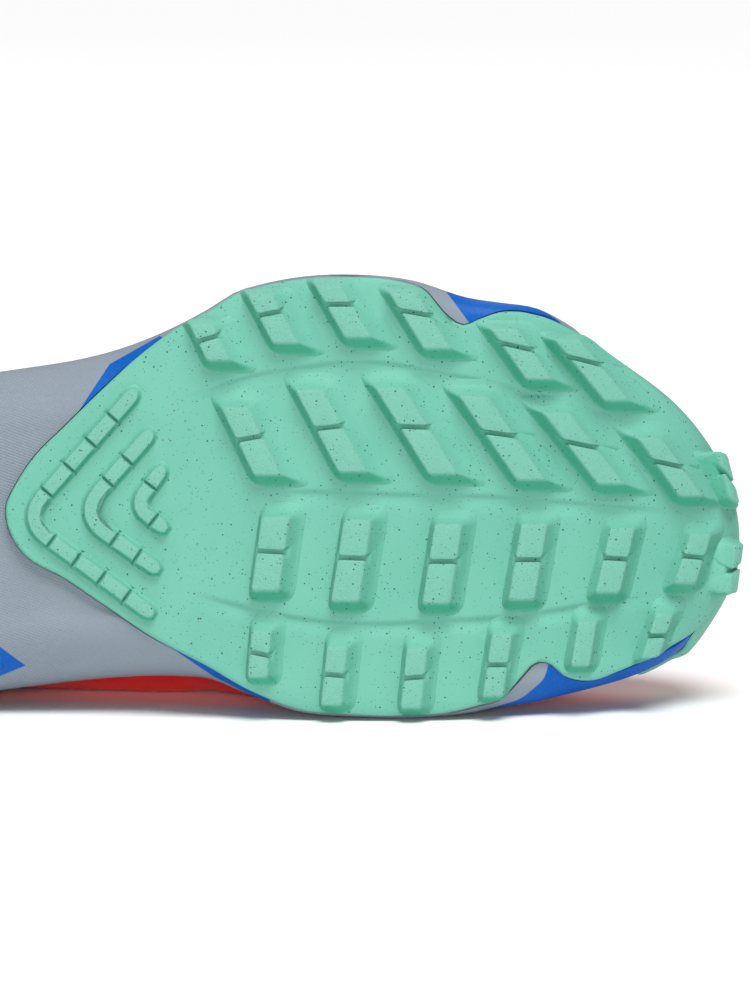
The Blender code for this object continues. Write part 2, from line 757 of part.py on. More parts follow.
def toe_room():
    """How far the midsole stands back at the toe for the rubber bumper."""
    room = smooth_step(BUMPER_START - 0.03, BUMPER_START + 0.01, RING_ALONG)
    return (BUMPER_THICKNESS + BUMPER_CLEAR) * room


def toe_bumper():
    """Rubber that turns up round the toe, over the midsole's side and onto the upper."""
    count = len(RING)
    turns = [i % count for i in range(-STATIONS, STATIONS) if RING_ALONG[i % count] >= BUMPER_START]
    low_in, low_out = inset(1.9 * MM), inset(0.9 * MM)
    rim_height = rim(RING[:, 0])
    stand = side_edge()
    inner = [np.column_stack([low_in, outsole_face(low_in) + 0.9 * MM])]
    outer = [np.column_stack([low_out, outsole_face(low_out) + 0.5 * MM])]
    for share in (0.25, 0.50):
        back = side_inset(share)
        height = stand + (rim_height - stand) * share
        inner.append(np.column_stack([inset(back - BUMPER_CLEAR), height]))
        outer.append(np.column_stack([inset(back - BUMPER_CLEAR - BUMPER_THICKNESS), height]))
    back = side_inset(1.0) - BUMPER_CLEAR
    inner.append(np.column_stack([inset(back), rim_height + GAP]))
    outer.append(np.column_stack([inset(back - 0.75 * BUMPER_THICKNESS), rim_height + BUMPER_THICKNESS]))
    grow = (0.3 + 0.7 * smooth_step(BUMPER_START, BUMPER_START + 0.07, RING_ALONG))[:, None]
    for level in (2, 3):
        reach = UPPER_GRID[:, level] + UPPER_NORMALS[:, level] * GAP
        inner.append(inner[3] * (1 - grow) + reach * grow)
        outer.append(inner[-1] + UPPER_NORMALS[:, level] * BUMPER_THICKNESS)
    body = Solid()
    for end, beside in ((turns[0], turns[1]), (turns[-1], turns[-2])):
        for rows in (inner, outer):
            for row, slant in zip(rows[2:], (0.15, 0.45, 0.68, 0.82)):
                row[end] += (row[beside] - row[end]) * slant
    sections = []
    for i in turns:
        loop = [row[i] for row in inner] + [row[i] for row in reversed(outer)]
        sections.append(body.add(loop))
    for first, second in zip(sections, sections[1:]):
        body.strip(first, second)
    for section in (sections[0], sections[-1]):
        half = len(section) // 2
        for k in range(half - 1):
            body.faces.append((section[k], section[k + 1], section[-2 - k], section[-1 - k]))
    return body.object("toe_bumper", hidden=True)


def lug_blocks(rows):
    """The charted lugs of the rows, as one body for each block."""
    body = Solid()
    for row, along, across, length, width, lean in LUGS:
        if row in rows:
            split_lug(body, row, along, across, length, width, lean)
    return body


def outsole_forefoot():
    made = sheet("outsole_forefoot", FRONT_ROWS, groove_dip)
    lugs = lug_blocks(("outer", "lateral", "medial", "inner", "toe"))
    for lateral, bend, medial, counts in CHEVRONS:
        chevron(lugs, lateral, bend, medial, counts)
    boolean(made, toe_bumper(), "UNION")
    boolean(made, lugs.object("forefoot_lugs", hidden=True), "UNION")
    return made


def outsole_heel():
    made = sheet("outsole_heel", BACK_ROWS)
    lugs = lug_blocks(("heel",))
    boolean(made, lugs.object("heel_lugs", hidden=True), "UNION")
    return made


def side_radius():
    return round_ring(SIDE_SHAPE, 1, 2) * BALL_WIDTH


def side_edge():
    """Height where the midsole's rounded bottom edge turns into its side."""
    return tread(RING[:, 0]) + LUG_HEIGHT + SHEET_STANDS_PROUD + side_radius()


def side_inset(share):
    """How far the midsole's side stands in from the outline, from its bottom (0) to its rim (1)."""
    lean = round_ring(SIDE_SHAPE, 3, 4) * BALL_WIDTH * share**1.5
    return toe_room() + lean + SIDE_STEP * (share > 0.5)


def rim_inside():
    """Inset of the midsole's cup wall from the sole's outline."""
    return side_inset(1.0) + RIM_WALL


def side_rings():
    """Rings of the midsole's outside, from its bottom edge up to the rim."""
    radius = side_radius()
    rings = []
    for turn in FILLET_TURNS:
        turn = math.radians(turn)
        plan = inset(toe_room() + radius * (1 - math.sin(turn)))
        base = tread(plan[:, 0]) + LUG_HEIGHT + SHEET_STANDS_PROUD
        rings.append(np.column_stack([plan, base + radius * (1 - math.cos(turn))]))
    edge = side_edge()
    for share in SIDE_LEVELS:
        plan = inset(side_inset(share))
        rings.append(np.column_stack([plan, edge + (rim(RING[:, 0]) - edge) * share]))
    return rings


def midsole():
    body = Solid()
    rows = [body.add(ring) for ring in side_rings()]
    cup = inset(rim_inside())
    rows.append(body.add(np.column_stack([cup, rim(RING[:, 0])])))
    rows.append(body.add(np.column_stack([cup, footbed(cup[:, 0])])))
    for first, second in zip(rows, rows[1:]):
        body.strip(first, second)
    body.across(rows[0], lambda x: tread(x) + LUG_HEIGHT + SHEET_STANDS_PROUD)
    body.across(rows[-1], footbed)
    made = body.object("midsole")
    boolean(made, recess("front_recess", FRONT_ROWS), "DIFFERENCE")
    boolean(made, recess("back_recess", BACK_ROWS), "DIFFERENCE")
    return made


def insole():
    body = Solid()
    plan = inset(rim_inside() + UPPER_WALL + 2.5 * GAP)
    base = footbed(plan[:, 0]) + GAP
    low = body.add(np.column_stack([plan, base]))
    high = body.add(np.column_stack([plan, base + INSOLE_THICKNESS]))
    body.strip(low, high)
    body.across(low, lambda x: footbed(x) + GAP)
    body.across(high, lambda x: footbed(x) + GAP + INSOLE_THICKNESS)
    return body.object("insole")


def turned(share):
    return np.arccos(np.clip(1 - 2 * np.asarray(share, float), -1, 1))


def top_line(index, along):
    """A column of the top line's table, smooth round the toe and the heel."""
    rows = sorted(TOP_LINE)
    return curve([turned(row[0]) for row in rows], [row[index] for row in rows], turned(along))


def upper_grid():
    """Points of the upper's outside: one row for each ring point, from the feather line to the top line."""
    foot = inset(rim_inside() + GAP)
    start = footbed(foot[:, 0]) + GAP
    half = np.maximum(top_line(3, RING_ALONG), 0)
    half[RING_ALONG >= THROAT_FRONT] = 0
    side = np.where(RING_MEDIAL, 1.0, -1.0)
    across = (top_line(2, RING_ALONG) + side * half) * BALL_WIDTH
    base = np.column_stack([foot, start])
    top = np.stack([top_line(1, RING_ALONG) * SHOE_LENGTH, across, top_line(4, RING_ALONG)], axis=1)
    arc = np.radians(np.clip(top_line(5, RING_ALONG), 18, 90))
    belly = np.where(RING_MEDIAL, top_line(7, RING_ALONG), top_line(6, RING_ALONG))
    grid = np.zeros((len(RING), UPPER_LEVELS + 1, 3))
    for k, share in enumerate(UPPER_SHARES):
        up = (np.sin(arc * share) / np.sin(arc)) ** BOXINESS
        over = ((1 - np.cos(arc * share)) / (1 - np.cos(arc))) ** (1 / BOXINESS)
        grid[:, k, :2] = base[:, :2] + (top[:, :2] - base[:, :2]) * over[:, None]
        grid[:, k, 2] = base[:, 2] + (top[:, 2] - base[:, 2]) * up
        swell = max(0.0, (share - BELLY_START) / (1 - BELLY_START)) ** BELLY_SKEW
        grid[:, k, :2] += RING_OUT * (belly * math.sin(math.pi * swell))[:, None]
    return grid


def grid_normals(grid):
    """Outward unit normals of the upper's grid."""
    round_way = np.roll(grid, -1, axis=0) - np.roll(grid, 1, axis=0)
    up = np.gradient(grid, axis=1)
    normal = np.cross(up, round_way)
    size = np.linalg.norm(normal, axis=2, keepdims=True)
    return normal / np.maximum(size, 1e-12)


UPPER_GRID = upper_grid()


def upper_normals():
    normals = grid_normals(UPPER_GRID)
    closed = RING_ALONG >= THROAT_FRONT
    normals[0, -1] = normals[1, -1]
    for i in np.flatnonzero(closed):
        j = (len(RING) - i) % len(RING)
        shared = normals[i, -1] + normals[j, -1]
        shared[1] = 0
        normals[i, -1] = normals[j, -1] = shared / np.linalg.norm(shared)
    for i in (0, STATIONS):
        normals[i, :, 1] = 0
        normals[i] /= np.linalg.norm(normals[i], axis=1)[:, None]
    return normals


UPPER_NORMALS = upper_normals()


def shell(name, cells, low, high):
    """A closed solid over cells of the upper's grid, between two distances out from its surface."""
    body = Solid()
    used = sorted({corner for cell in cells for corner in cell})
    inner = dict(zip(used, body.add([UPPER_GRID[c] + UPPER_NORMALS[c] * low for c in used])))
    outer = dict(zip(used, body.add([UPPER_GRID[c] + UPPER_NORMALS[c] * high for c in used])))
    sides = {}
    for cell in cells:
        for half in (cell[:3], (cell[0], cell[2], cell[3])):
            body.faces.append(tuple(outer[c] for c in half))
            body.faces.append(tuple(inner[c] for c in reversed(half)))
        for a, b in zip(cell, cell[1:] + cell[:1]):
            sides[a, b] = sides.get((a, b), 0) + 1
    welded = {}
    for c in used:
        key = tuple(np.round(UPPER_GRID[c], WELD_DIGITS))
        welded.setdefault(key, c)
    same = {c: welded[tuple(np.round(UPPER_GRID[c], WELD_DIGITS))] for c in used}
    edges = {}
    for a, b in sides:
        edges.setdefault(frozenset((same[a], same[b])), []).append((a, b))
    for pair in edges.values():
        a, b = pair[0]
        if len(pair) == 1 and same[a] != same[b]:
            body.faces.append((outer[b], outer[a], inner[a], inner[b]))
    return body.object(name)


def cells_where(keep):
    """Cells of the upper's grid whose station and level pass the test."""
    found = []
    count = len(RING)
    for i in range(count):
        j = (i + 1) % count
        station = (RING_ALONG[i] + RING_ALONG[j]) / 2
        for k in range(UPPER_LEVELS):
            if keep(station, k):
                found.append(((i, k), (j, k), (j, k + 1), (i, k + 1)))
    return found


def upper():
    return shell("upper", cells_where(lambda station, k: True), -UPPER_WALL, 0.0)


def prism(name, outline, axis, low, high):
    """A hidden straight solid over an outline, along the y or z axis."""
    body = Solid()
    rows = []
    for level in (low, high):
        if axis == "z":
            rows.append(body.add([(a, b, level) for a, b in outline]))
        else:
            rows.append(body.add([(a, level, b) for a, b in outline]))
    body.strip(rows[0], rows[1])
    body.faces.append(tuple(rows[0]))
    body.faces.append(tuple(reversed(rows[1])))
    return body.object(name, hidden=True)


def eyestay():
    """Reinforced edge of the throat, rounded off in front."""
    first = UPPER_LEVELS - 2
    rear, front = THROAT_TOP - 0.02, EYESTAY_FRONT + 0.03
    cells = cells_where(lambda station, k: rear < station < front and k >= first)
    made = shell("eyestay", cells, GAP, GAP + OVERLAY_THICKNESS)
    nose, reach = EYESTAY_FRONT * SHOE_LENGTH, EYESTAY_ROUND * SHOE_LENGTH
    middle = float(top_line(2, EYESTAY_FRONT)) * BALL_WIDTH
    wide = 0.94 * reach
    outline = []
    for turn in np.linspace(-math.pi / 2, math.pi / 2, 13):
        a = nose - reach + reach * math.cos(turn)
        outline.append((a, middle + wide * math.sin(turn)))
    outline.append((nose - 1.6 * reach, 0.9 * BALL_WIDTH))
    outline.append((0.2 * SHOE_LENGTH, 0.9 * BALL_WIDTH))
    outline.append((0.2 * SHOE_LENGTH, -0.9 * BALL_WIDTH))
    outline.append((nose - 1.6 * reach, -0.9 * BALL_WIDTH))
    boolean(made, prism("eyestay_outline", outline, "z", 0.0, SHOE_LENGTH), "INTERSECT")
    return made


def column_at(station, side):
    """The upper's levels at any station of one side: points and normals."""
    order = np.arange(STATIONS, -1, -1)
    rows = order if side < 0 else (len(RING) - order) % len(RING)
    found = []
    for source in (UPPER_GRID, UPPER_NORMALS):
        picked = source[rows]
        shape = picked.shape[1:]
        flat = picked.reshape(len(rows), -1)
        values = [np.interp(station, RING_ALONG[order], flat[:, c]) for c in range(flat.shape[1])]
        found.append(np.array(values).reshape(shape))
    return found


def below_edge(station, side, distance, lift):
    """Point of the upper at a distance down from its top line, lifted off its surface."""
    points, normals = column_at(station, side)
    points, normals = points[::-1], normals[::-1]
    steps = np.linalg.norm(np.diff(points, axis=0), axis=1)
    down = np.concatenate([[0], np.cumsum(steps)])
    point = np.array([np.interp(distance, down, points[:, c]) for c in range(3)])
    normal = np.array([np.interp(distance, down, normals[:, c]) for c in range(3)])
    return point + normal / np.linalg.norm(normal) * lift


def resampled(points, count):
    """The same polyline with evenly spaced points."""
    steps = np.linalg.norm(np.diff(points, axis=0), axis=1)
    run = np.concatenate([[0], np.cumsum(steps)])
    at = np.linspace(0, run[-1], count + 1)
    return np.stack([np.interp(at, run, points[:, c]) for c in range(3)], axis=1)


def arched(start, end, rise, count):
    """Points between two ends, along a parabola that rises from the line between them."""
    run = end - start
    up = np.array([-0.35, 0, 0.94])
    shares = np.linspace(0, 1, count + 2)[1:-1, None]
    return start + run * shares + up * rise * 4 * shares * (1 - shares)


def tongue_section(station):
    """Outside of the tongue across the throat: it runs under the upper's edges and arches between."""
    under = -(UPPER_WALL + TONGUE_CLEAR)
    reach = TONGUE_UNDERLAP * (0.6 + 0.4 * smooth_step(THROAT_TOP, THROAT_TOP + 0.15, station))
    sides = {}
    for side in (-1, 1):
        steps = (1.0, 0.5, 0.0)
        sides[side] = np.array([below_edge(station, side, reach * s, under) for s in steps])
    start, end = sides[-1][-1], sides[1][-1]
    span = np.linalg.norm(end - start)
    middle = arched(start, end, 0.10 * span, 3)
    return resampled(np.concatenate([sides[-1], middle, sides[1][::-1]]), TONGUE_COLUMNS)


def tongue():
    """Padded tongue: fast under the vamp, free above the throat."""
    body = Solid()
    stations = np.linspace(TONGUE_FRONT, THROAT_TOP + 0.03, TONGUE_ROWS + 1)
    rows = [tongue_section(station) for station in stations]
    last, before = rows[-1], rows[-3]
    run = last[TONGUE_COLUMNS // 2] - before[TONGUE_COLUMNS // 2]
    run /= np.linalg.norm(run)
    across = np.linspace(-1, 1, TONGUE_COLUMNS + 1)[:, None]
    middle = last.mean(axis=0)
    place = last
    for i in range(1, TONGUE_TOP_ROWS + 1):
        share = i / TONGUE_TOP_ROWS
        tip = math.radians(26) * share
        ahead = run[0] * math.cos(tip) + run[2] * math.sin(tip)
        up = run[2] * math.cos(tip) - run[0] * math.sin(tip)
        step = np.array([ahead, 0, up]) * TONGUE_RISE / TONGUE_TOP_ROWS
        place = place + step * (1 - 0.22 * share * across**2)
        narrow = place.copy()
        narrow[:, 1] = middle[1] + (place[:, 1] - middle[1]) * (1 - TONGUE_NARROW * share)
        rows.append(narrow)
    outside = np.array(rows)
    normal = np.cross(np.gradient(outside, axis=0), np.gradient(outside, axis=1))
    normal /= np.linalg.norm(normal, axis=2, keepdims=True)
    if normal[..., 2].mean() < 0:
        normal = -normal
    thick = TONGUE_THICKNESS * (1 - 0.45 * np.abs(across.T) ** 3)
    inside = outside - normal * thick[..., None]
    low = cover(body, list(outside))
    high = cover(body, list(inside))
    body.strip(low, high)
    return body.object("tongue")


def lace_path(start_station, end_station):
    """Points and upward directions of a crossing, from a lateral eyelet over the throat to a medial one."""
    lift = 3.5 * GAP + OVERLAY_THICKNESS + LACE_THICKNESS / 2
    reach = (end_station - start_station) * 0.16
    stops = [
        (start_station, -1, EYELET_DEPTH, lift),
        (start_station + reach, -1, 0.5 * MM, lift + 0.7 * MM),
        (end_station - reach, 1, 0.5 * MM, lift + 0.7 * MM),
        (end_station, 1, EYELET_DEPTH, lift),
    ]
    points, ups = [], []
    for station, side, depth, high in stops:
        points.append(below_edge(station, side, depth, high))
        ups.append((points[-1] - below_edge(station, side, depth, 0)) / high)
    rise = 0.08 * np.linalg.norm(points[2] - points[1])
    middle = arched(points[1], points[2], rise, 2)
    shares = (1 / 3, 2 / 3)
    between_ups = [ups[1] * (1 - share) + ups[2] * share for share in shares]
    path = [points[0], points[1], *middle, points[2], points[3]]
    return path, [ups[0], ups[1], *between_ups, ups[2], ups[3]]


def lace_bar(name, start_station, end_station, hidden):
    path, ups = lace_path(start_station, end_station)
    body = Solid()
    rings = []
    for i, (point, up) in enumerate(zip(path, ups)):
        run = Vector(path[min(i + 1, len(path) - 1)]) - Vector(path[max(i - 1, 0)])
        side = run.cross(Vector(up)).normalized()
        high = side.cross(run).normalized()
        centre = Vector(point)
        ring = []
        for across, rise in ((-1, -0.6), (1, -0.6), (0.72, 1), (-0.72, 1)):
            ring.append(centre + side * across * LACE_WIDTH / 2 + high * rise * LACE_THICKNESS / 2)
        rings.append(body.add(ring))
    for first, second in zip(rings, rings[1:]):
        body.strip(first, second)
    body.faces.append(tuple(rings[0]))
    body.faces.append(tuple(reversed(rings[-1])))
    return body.object(name, hidden)


def lace():
    """Criss-cross lace with a straight bar in front; its hidden ends stop at the top eyelets."""
    made = lace_bar("lace", EYELETS[0], EYELETS[0], hidden=False)
    number = 0
    for low, high in zip(EYELETS, EYELETS[1:]):
        for pair in ((low, high), (high, low)):
            number += 1
            boolean(made, lace_bar(f"lace_crossing_{number}", *pair, hidden=True), "UNION")
    return made


def finish(made):
    """Gives a piece its material and smooth shading."""
    colour, roughness = COLOURS[made.name]
    material = bpy.data.materials.new(made.name)
    material.use_nodes = True
    shader = material.node_tree.nodes["Principled BSDF"]
    shader.inputs["Base Color"].default_value = (*colour, 1)
    shader.inputs["Roughness"].default_value = roughness
    made.data.materials.append(material)
    made.data.shade_smooth()
    made.data.set_sharp_from_angle(angle=math.radians(35))


def lying_matrix(pieces):
    """Lays the shoe on its medial side: the face of its hull that carries its weight goes down."""
    bpy.context.view_layer.update()
    graph = bpy.context.evaluated_depsgraph_get()
    hull = bmesh.new()
    weight, moment = 0.0, Vector()
    for piece in pieces:
        mesh = piece.evaluated_get(graph).to_mesh()
        body = bmesh.new()
        body.from_mesh(mesh)
        volume = body.calc_volume()
        middle = sum((v.co for v in body.verts), Vector()) / len(body.verts)
        weight += volume
        moment += middle * volume
        for v in body.verts:
            hull.verts.new(v.co)
        body.free()
    centre = moment / weight
    bmesh.ops.convex_hull(hull, input=hull.verts)
    hull.normal_update()
    best = None
    for face in hull.faces:
        normal = face.normal
        foot = centre + normal * (face.verts[0].co - centre).dot(normal)
        corners = [v.co for v in face.verts]
        inside = all(
            (b - a).cross(foot - a).dot(normal) >= -1e-12
            for a, b in zip(corners, corners[1:] + corners[:1])
        )
        if inside and (best is None or normal.y > best.y):
            best = normal.copy()
    down = best
    ahead = Vector((1, 0, 0))
    ahead = (ahead - down * ahead.dot(down)).normalized()
    back = down.cross(ahead)
    turn = Matrix((ahead, -back, -down))
    if turn.determinant() < 0:
        turn = Matrix((ahead, back, -down))
    placed = [turn @ v.co for v in hull.verts]
    low = Vector(min(p[i] for p in placed) for i in range(3))
    high = Vector(max(p[i] for p in placed) for i in range(3))
    hull.free()
    shift = Vector((-(low.x + high.x) / 2, -(low.y + high.y) / 2, -low.z))
    return Matrix.Translation(shift) @ turn.to_4x4()


def main():
    for old in list(bpy.data.objects):
        bpy.data.objects.remove(old)
    pieces = [
        outsole_forefoot(),
        outsole_heel(),
        midsole(),
        insole(),
        upper(),
        eyestay(),
        tongue(),
        lace(),
    ]
    for made in pieces:
        finish(made)
    lying = bpy.data.objects.new("lying_shoe", None)
    bpy.context.collection.objects.link(lying)
    lying.matrix_world = lying_matrix(pieces)
    for made in bpy.data.objects:
        if made is not lying:
            made.parent = lying


main()
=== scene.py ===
"""Looks of a trail running shoe, right foot, lying on its medial side with the sole to the camera.

Shapes are worked out in the shoe's own frame, as the part's are: x runs from the heel to the toe,
+y is medial and +z is up from the tips of the lugs. LYING then lays each piece down with the part.
Tables hold shares: "along" is a share of SHOE_LENGTH, and widths are shares of BALL_WIDTH.
"""

import math

import bmesh
import bpy
import numpy as np
from mathutils import Matrix, Vector

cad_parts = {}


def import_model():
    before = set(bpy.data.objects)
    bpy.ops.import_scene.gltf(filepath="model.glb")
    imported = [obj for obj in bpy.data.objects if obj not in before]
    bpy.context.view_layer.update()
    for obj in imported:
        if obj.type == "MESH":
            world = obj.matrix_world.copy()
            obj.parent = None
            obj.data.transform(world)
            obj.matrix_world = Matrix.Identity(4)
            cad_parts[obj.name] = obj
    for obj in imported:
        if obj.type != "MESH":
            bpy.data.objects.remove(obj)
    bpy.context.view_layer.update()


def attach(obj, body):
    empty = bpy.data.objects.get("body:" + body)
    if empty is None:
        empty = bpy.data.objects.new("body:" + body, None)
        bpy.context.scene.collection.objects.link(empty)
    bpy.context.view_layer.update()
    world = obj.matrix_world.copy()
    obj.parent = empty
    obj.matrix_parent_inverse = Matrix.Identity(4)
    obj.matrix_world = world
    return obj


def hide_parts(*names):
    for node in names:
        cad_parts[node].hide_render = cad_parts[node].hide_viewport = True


MM = 0.001

# From the shoe's frame to the row's frame
LYING = Matrix((
    (0.999978483, 0.006504091, 0.000867478, -0.152792498),
    (0.0, -0.132203594, 0.991222560, -0.058376297),
    (0.006561686, -0.991201162, -0.132200763, 0.044887338),
    (0.0, 0.0, 0.0, 1.0),
))

# Sizes shared with the part
SHOE_LENGTH = 305 * MM
BALL_WIDTH = 112 * MM
GAP = 0.3 * MM
LUG_HEIGHT = 4.0 * MM
CHEVRON_HEIGHT = 2.0 * MM
SIPE_WIDTH = 1.1 * MM
SHEET_THICKNESS = 2.5 * MM
TOE_SPRING = 27 * MM
TOE_SPRING_START = 0.66
HEEL_BEVEL = 9 * MM
HEEL_BEVEL_END = 0.14
RECESS_MARGIN = 0.25 * MM
EDGE_ROLL = 5 * MM
EDGE_ROLL_TOE = 11 * MM
EDGE_ROLL_HEEL = 8 * MM
SHEET_STANDS_PROUD = 1.2 * MM
RIM_WALL = 2.6 * MM
SIDE_STEP = 0.7 * MM
RIM_ROUND = 1.1 * MM
UPPER_WALL = 2.4 * MM
OVERLAY_THICKNESS = 1.2 * MM
EYESTAY_FRONT = 0.785
EYESTAY_ROUND = 0.075
TONGUE_THICKNESS = 4.2 * MM
TONGUE_CLEAR = 0.9 * MM
TONGUE_UNDERLAP = 9 * MM
TONGUE_FRONT = 0.775
TONGUE_RISE = 31 * MM
BUMPER_START = 0.882
BUMPER_THICKNESS = 1.8 * MM
BUMPER_CLEAR = 0.5 * MM
BUMPER_END = 0.2188
BUMPER_SLANT = 0.03125
BUMPER_LOW = 0.42
BUMPER_MEDIAL = 0.91
LACE_WIDTH = 5.0 * MM
LACE_THICKNESS = 1.7 * MM
EYELETS = (0.668, 0.620, 0.572, 0.524, 0.476, 0.436)
EYELET_DEPTH = 7.5 * MM
TOE_ROUND = 0.164
HEEL_ROUND = 0.138
THROAT_FRONT = 0.735
THROAT_TOP = 0.405
BELLY_START = 0.12
BELLY_SKEW = 0.80
BOXINESS = 0.84
FRONT_TIP = (0.384, -0.068)
FRONT_TIP_ROUND = 0.040
EDGE_MARGIN = 0.4 * MM

# Fineness of the visible meshes
RING_STATIONS = 150
SHEET_STATIONS = 150
EDGE_ROUND = 0.9 * MM
TONGUE_COLUMNS = 40
HEEL_ROWS = 90
UPPER_ROWS = 44
ROLL_TURNS = (15, 35, 55, 75, 90, 105, 125, 145, 165)
HEEL_COLUMNS = 60
RECESS_COLUMNS = (24, 16)

# Places of the points beside an edge of the rubber and beside a flex groove, and columns between them
EDGE_STEPS = np.array([0.0, 0.07, 0.22, 0.45, 0.8, 1.3, 2.2]) * MM
GROOVE_STEPS = np.array([-1.6, -1.1, -0.7, -0.35, -0.1, 0.15, 0.5, 1.0, 1.7, 2.5, 3.3, 4.1]) * MM
FILLS = (12, 20, 20, 10)

# Sizes of what only shows
COLLAR_PAD = 3.6 * MM
TONGUE_NARROW = 0.16
TONGUE_CURL = 26
TONGUE_QUILT = 0.35 * MM
STITCH_RADIUS = 0.34 * MM
COLLAR_SEAM = 0.86
RAND_THICKNESS = 0.75 * MM
ARCH_SWELL = 3.2 * MM
ARCH_RISE = 20 * MM
# Saddle panel: its places along the shoe at the foot and at the top, and its width
SADDLE = (0.470, 0.545, 0.115)
RAND_UNDERLAP = 1.5 * MM
BAND_THICKNESS = 0.7 * MM
PANEL_SUNK = 0.25 * MM
# Least heights over the floor where the shoe lies on it: the mesh, a panel's back and its face
FLOOR_CLEAR = (0.6 * MM, 0.35 * MM, 0.05 * MM)
EYESTAY_LOW = 0.78
EYESTAY_LIFT = 0.4 * GAP
EYELET_PROFILE = [
    (3.4 * MM, -0.20 * MM),
    (3.3 * MM, 0.25 * MM),
    (3.0 * MM, 0.45 * MM),
    (2.6 * MM, 0.42 * MM),
    (2.3 * MM, 0.20 * MM),
    (2.2 * MM, -0.10 * MM),
    (1.9 * MM, -0.12 * MM),
]

# Rounded edge of the insole, from its underside: (inset, height)
INSOLE_EDGE = [
    (0.60 * MM, 0.0 * MM),
    (0.10 * MM, 0.5 * MM),
    (0.00 * MM, 1.2 * MM),
    (0.00 * MM, 3.2 * MM),
    (0.25 * MM, 3.8 * MM),
    (0.80 * MM, 4.0 * MM),
    (3.00 * MM, 3.9 * MM),
]

# Folds across the forefoot: (along, slant, depth in millimetres)
CREASES = [
    (0.735, 0.05, 0.55),
    (0.700, 0.06, 0.42),
    (0.655, 0.03, 0.30),
]

# Rise of the rand over the midsole's rim: (along, rise)
RAND_RISE = [
    (0.000, 34 * MM),
    (0.090, 31 * MM),
    (0.180, 21 * MM),
    (0.300, 12 * MM),
    (0.450, 9 * MM),
    (0.620, 9 * MM),
    (0.760, 12 * MM),
    (0.860, 18 * MM),
    (0.930, 24 * MM),
    (1.000, 27 * MM),
]

# Plan of the sole at its widest line: (along, lateral, medial)
SOLE_PLAN = [
    (0.000, 0.384, 0.384),
    (0.131, 0.388, 0.391),
    (0.197, 0.396, 0.395),
    (0.279, 0.384, 0.378),
    (0.344, 0.374, 0.356),
    (0.400, 0.392, 0.336),
    (0.449, 0.414, 0.320),
    (0.475, 0.432, 0.314),
    (0.525, 0.485, 0.311),
    (0.556, 0.530, 0.318),
    (0.574, 0.561, 0.338),
    (0.594, 0.578, 0.359),
    (0.623, 0.594, 0.387),
    (0.679, 0.601, 0.402),
    (0.721, 0.589, 0.404),
    (0.770, 0.549, 0.393),
    (0.795, 0.539, 0.381),
    (0.825, 0.527, 0.369),
    (0.859, 0.482, 0.350),
    (0.902, 0.422, 0.338),
    (0.951, 0.384, 0.330),
    (1.000, 0.344, 0.326),
]

# Plan of the forefoot rubber, with its flex notches: (along, lateral, medial)
FRONT_PLAN = [
    (0.384, 0.130, 0.040),
    (0.401, 0.178, 0.052),
    (0.421, 0.226, 0.070),
    (0.463, 0.337, 0.142),
    (0.504, 0.438, 0.217),
    (0.546, 0.517, 0.278),
    (0.587, 0.573, 0.343),
    (0.629, 0.594, 0.386),
    (0.670, 0.597, 0.400),
    (0.711, 0.587, 0.402),
    (0.733, 0.564, 0.398),
    (0.749, 0.512, 0.394),
    (0.764, 0.486, 0.386),
    (0.778, 0.500, 0.376),
    (0.795, 0.517, 0.362),
    (0.811, 0.519, 0.318),
    (0.825, 0.512, 0.279),
    (0.836, 0.504, 0.280),
    (0.850, 0.487, 0.310),
    (0.869, 0.463, 0.325),
    (0.898, 0.423, 0.312),
    (0.920, 0.400, 0.301),
    (0.940, 0.384, 0.298),
    (0.960, 0.370, 0.303),
    (1.000, 0.340, 0.320),
]

# Plan of the heel rubber, and its front edge from the lateral side to the medial one
BACK_PLAN = [
    (0.000, 0.370, 0.370),
    (0.131, 0.380, 0.383),
    (0.197, 0.388, 0.387),
    (0.262, 0.372, 0.368),
    (0.318, 0.338, 0.322),
    (0.352, 0.300, 0.280),
]
BACK_NOTCH = [
    (0.000, 0.286),
    (0.180, 0.308),
    (0.420, 0.262),
    (0.500, 0.254),
    (0.580, 0.262),
    (0.820, 0.304),
    (1.000, 0.282),
]

# Shape of the midsole's side:
# (along, lateral edge radius, medial edge radius, lateral rim inset, medial rim inset)
SIDE_SHAPE = [
    (0.000, 0.070, 0.070, 0.026, 0.026),
    (0.080, 0.045, 0.045, 0.046, 0.046),
    (0.240, 0.060, 0.060, 0.040, 0.040),
    (0.370, 0.130, 0.140, 0.014, 0.008),
    (0.460, 0.110, 0.140, 0.010, 0.000),
    (0.530, 0.055, 0.120, 0.016, 0.000),
    (0.600, 0.036, 0.050, 0.020, 0.014),
    (0.700, 0.036, 0.036, 0.024, 0.020),
    (0.765, 0.055, 0.036, 0.026, 0.020),
    (0.820, 0.040, 0.062, 0.022, 0.016),
    (0.900, 0.050, 0.060, 0.012, 0.010),
    (1.000, 0.060, 0.060, 0.008, 0.008),
]

# Heights over the lug tips: (along, footbed, rim over footbed)
FOOTBED = [
    (0.000, 19.5 * MM, 9.5 * MM),
    (0.060, 22.6 * MM, 9.0 * MM),
    (0.110, 24.2 * MM, 8.4 * MM),
    (0.200, 24.8 * MM, 8.2 * MM),
    (0.300, 25.0 * MM, 8.5 * MM),
    (0.450, 23.5 * MM, 8.0 * MM),
    (0.600, 20.5 * MM, 6.0 * MM),
    (0.750, 17.5 * MM, 5.5 * MM),
    (0.900, 16.0 * MM, 5.5 * MM),
    (1.000, 15.0 * MM, 5.5 * MM),
]

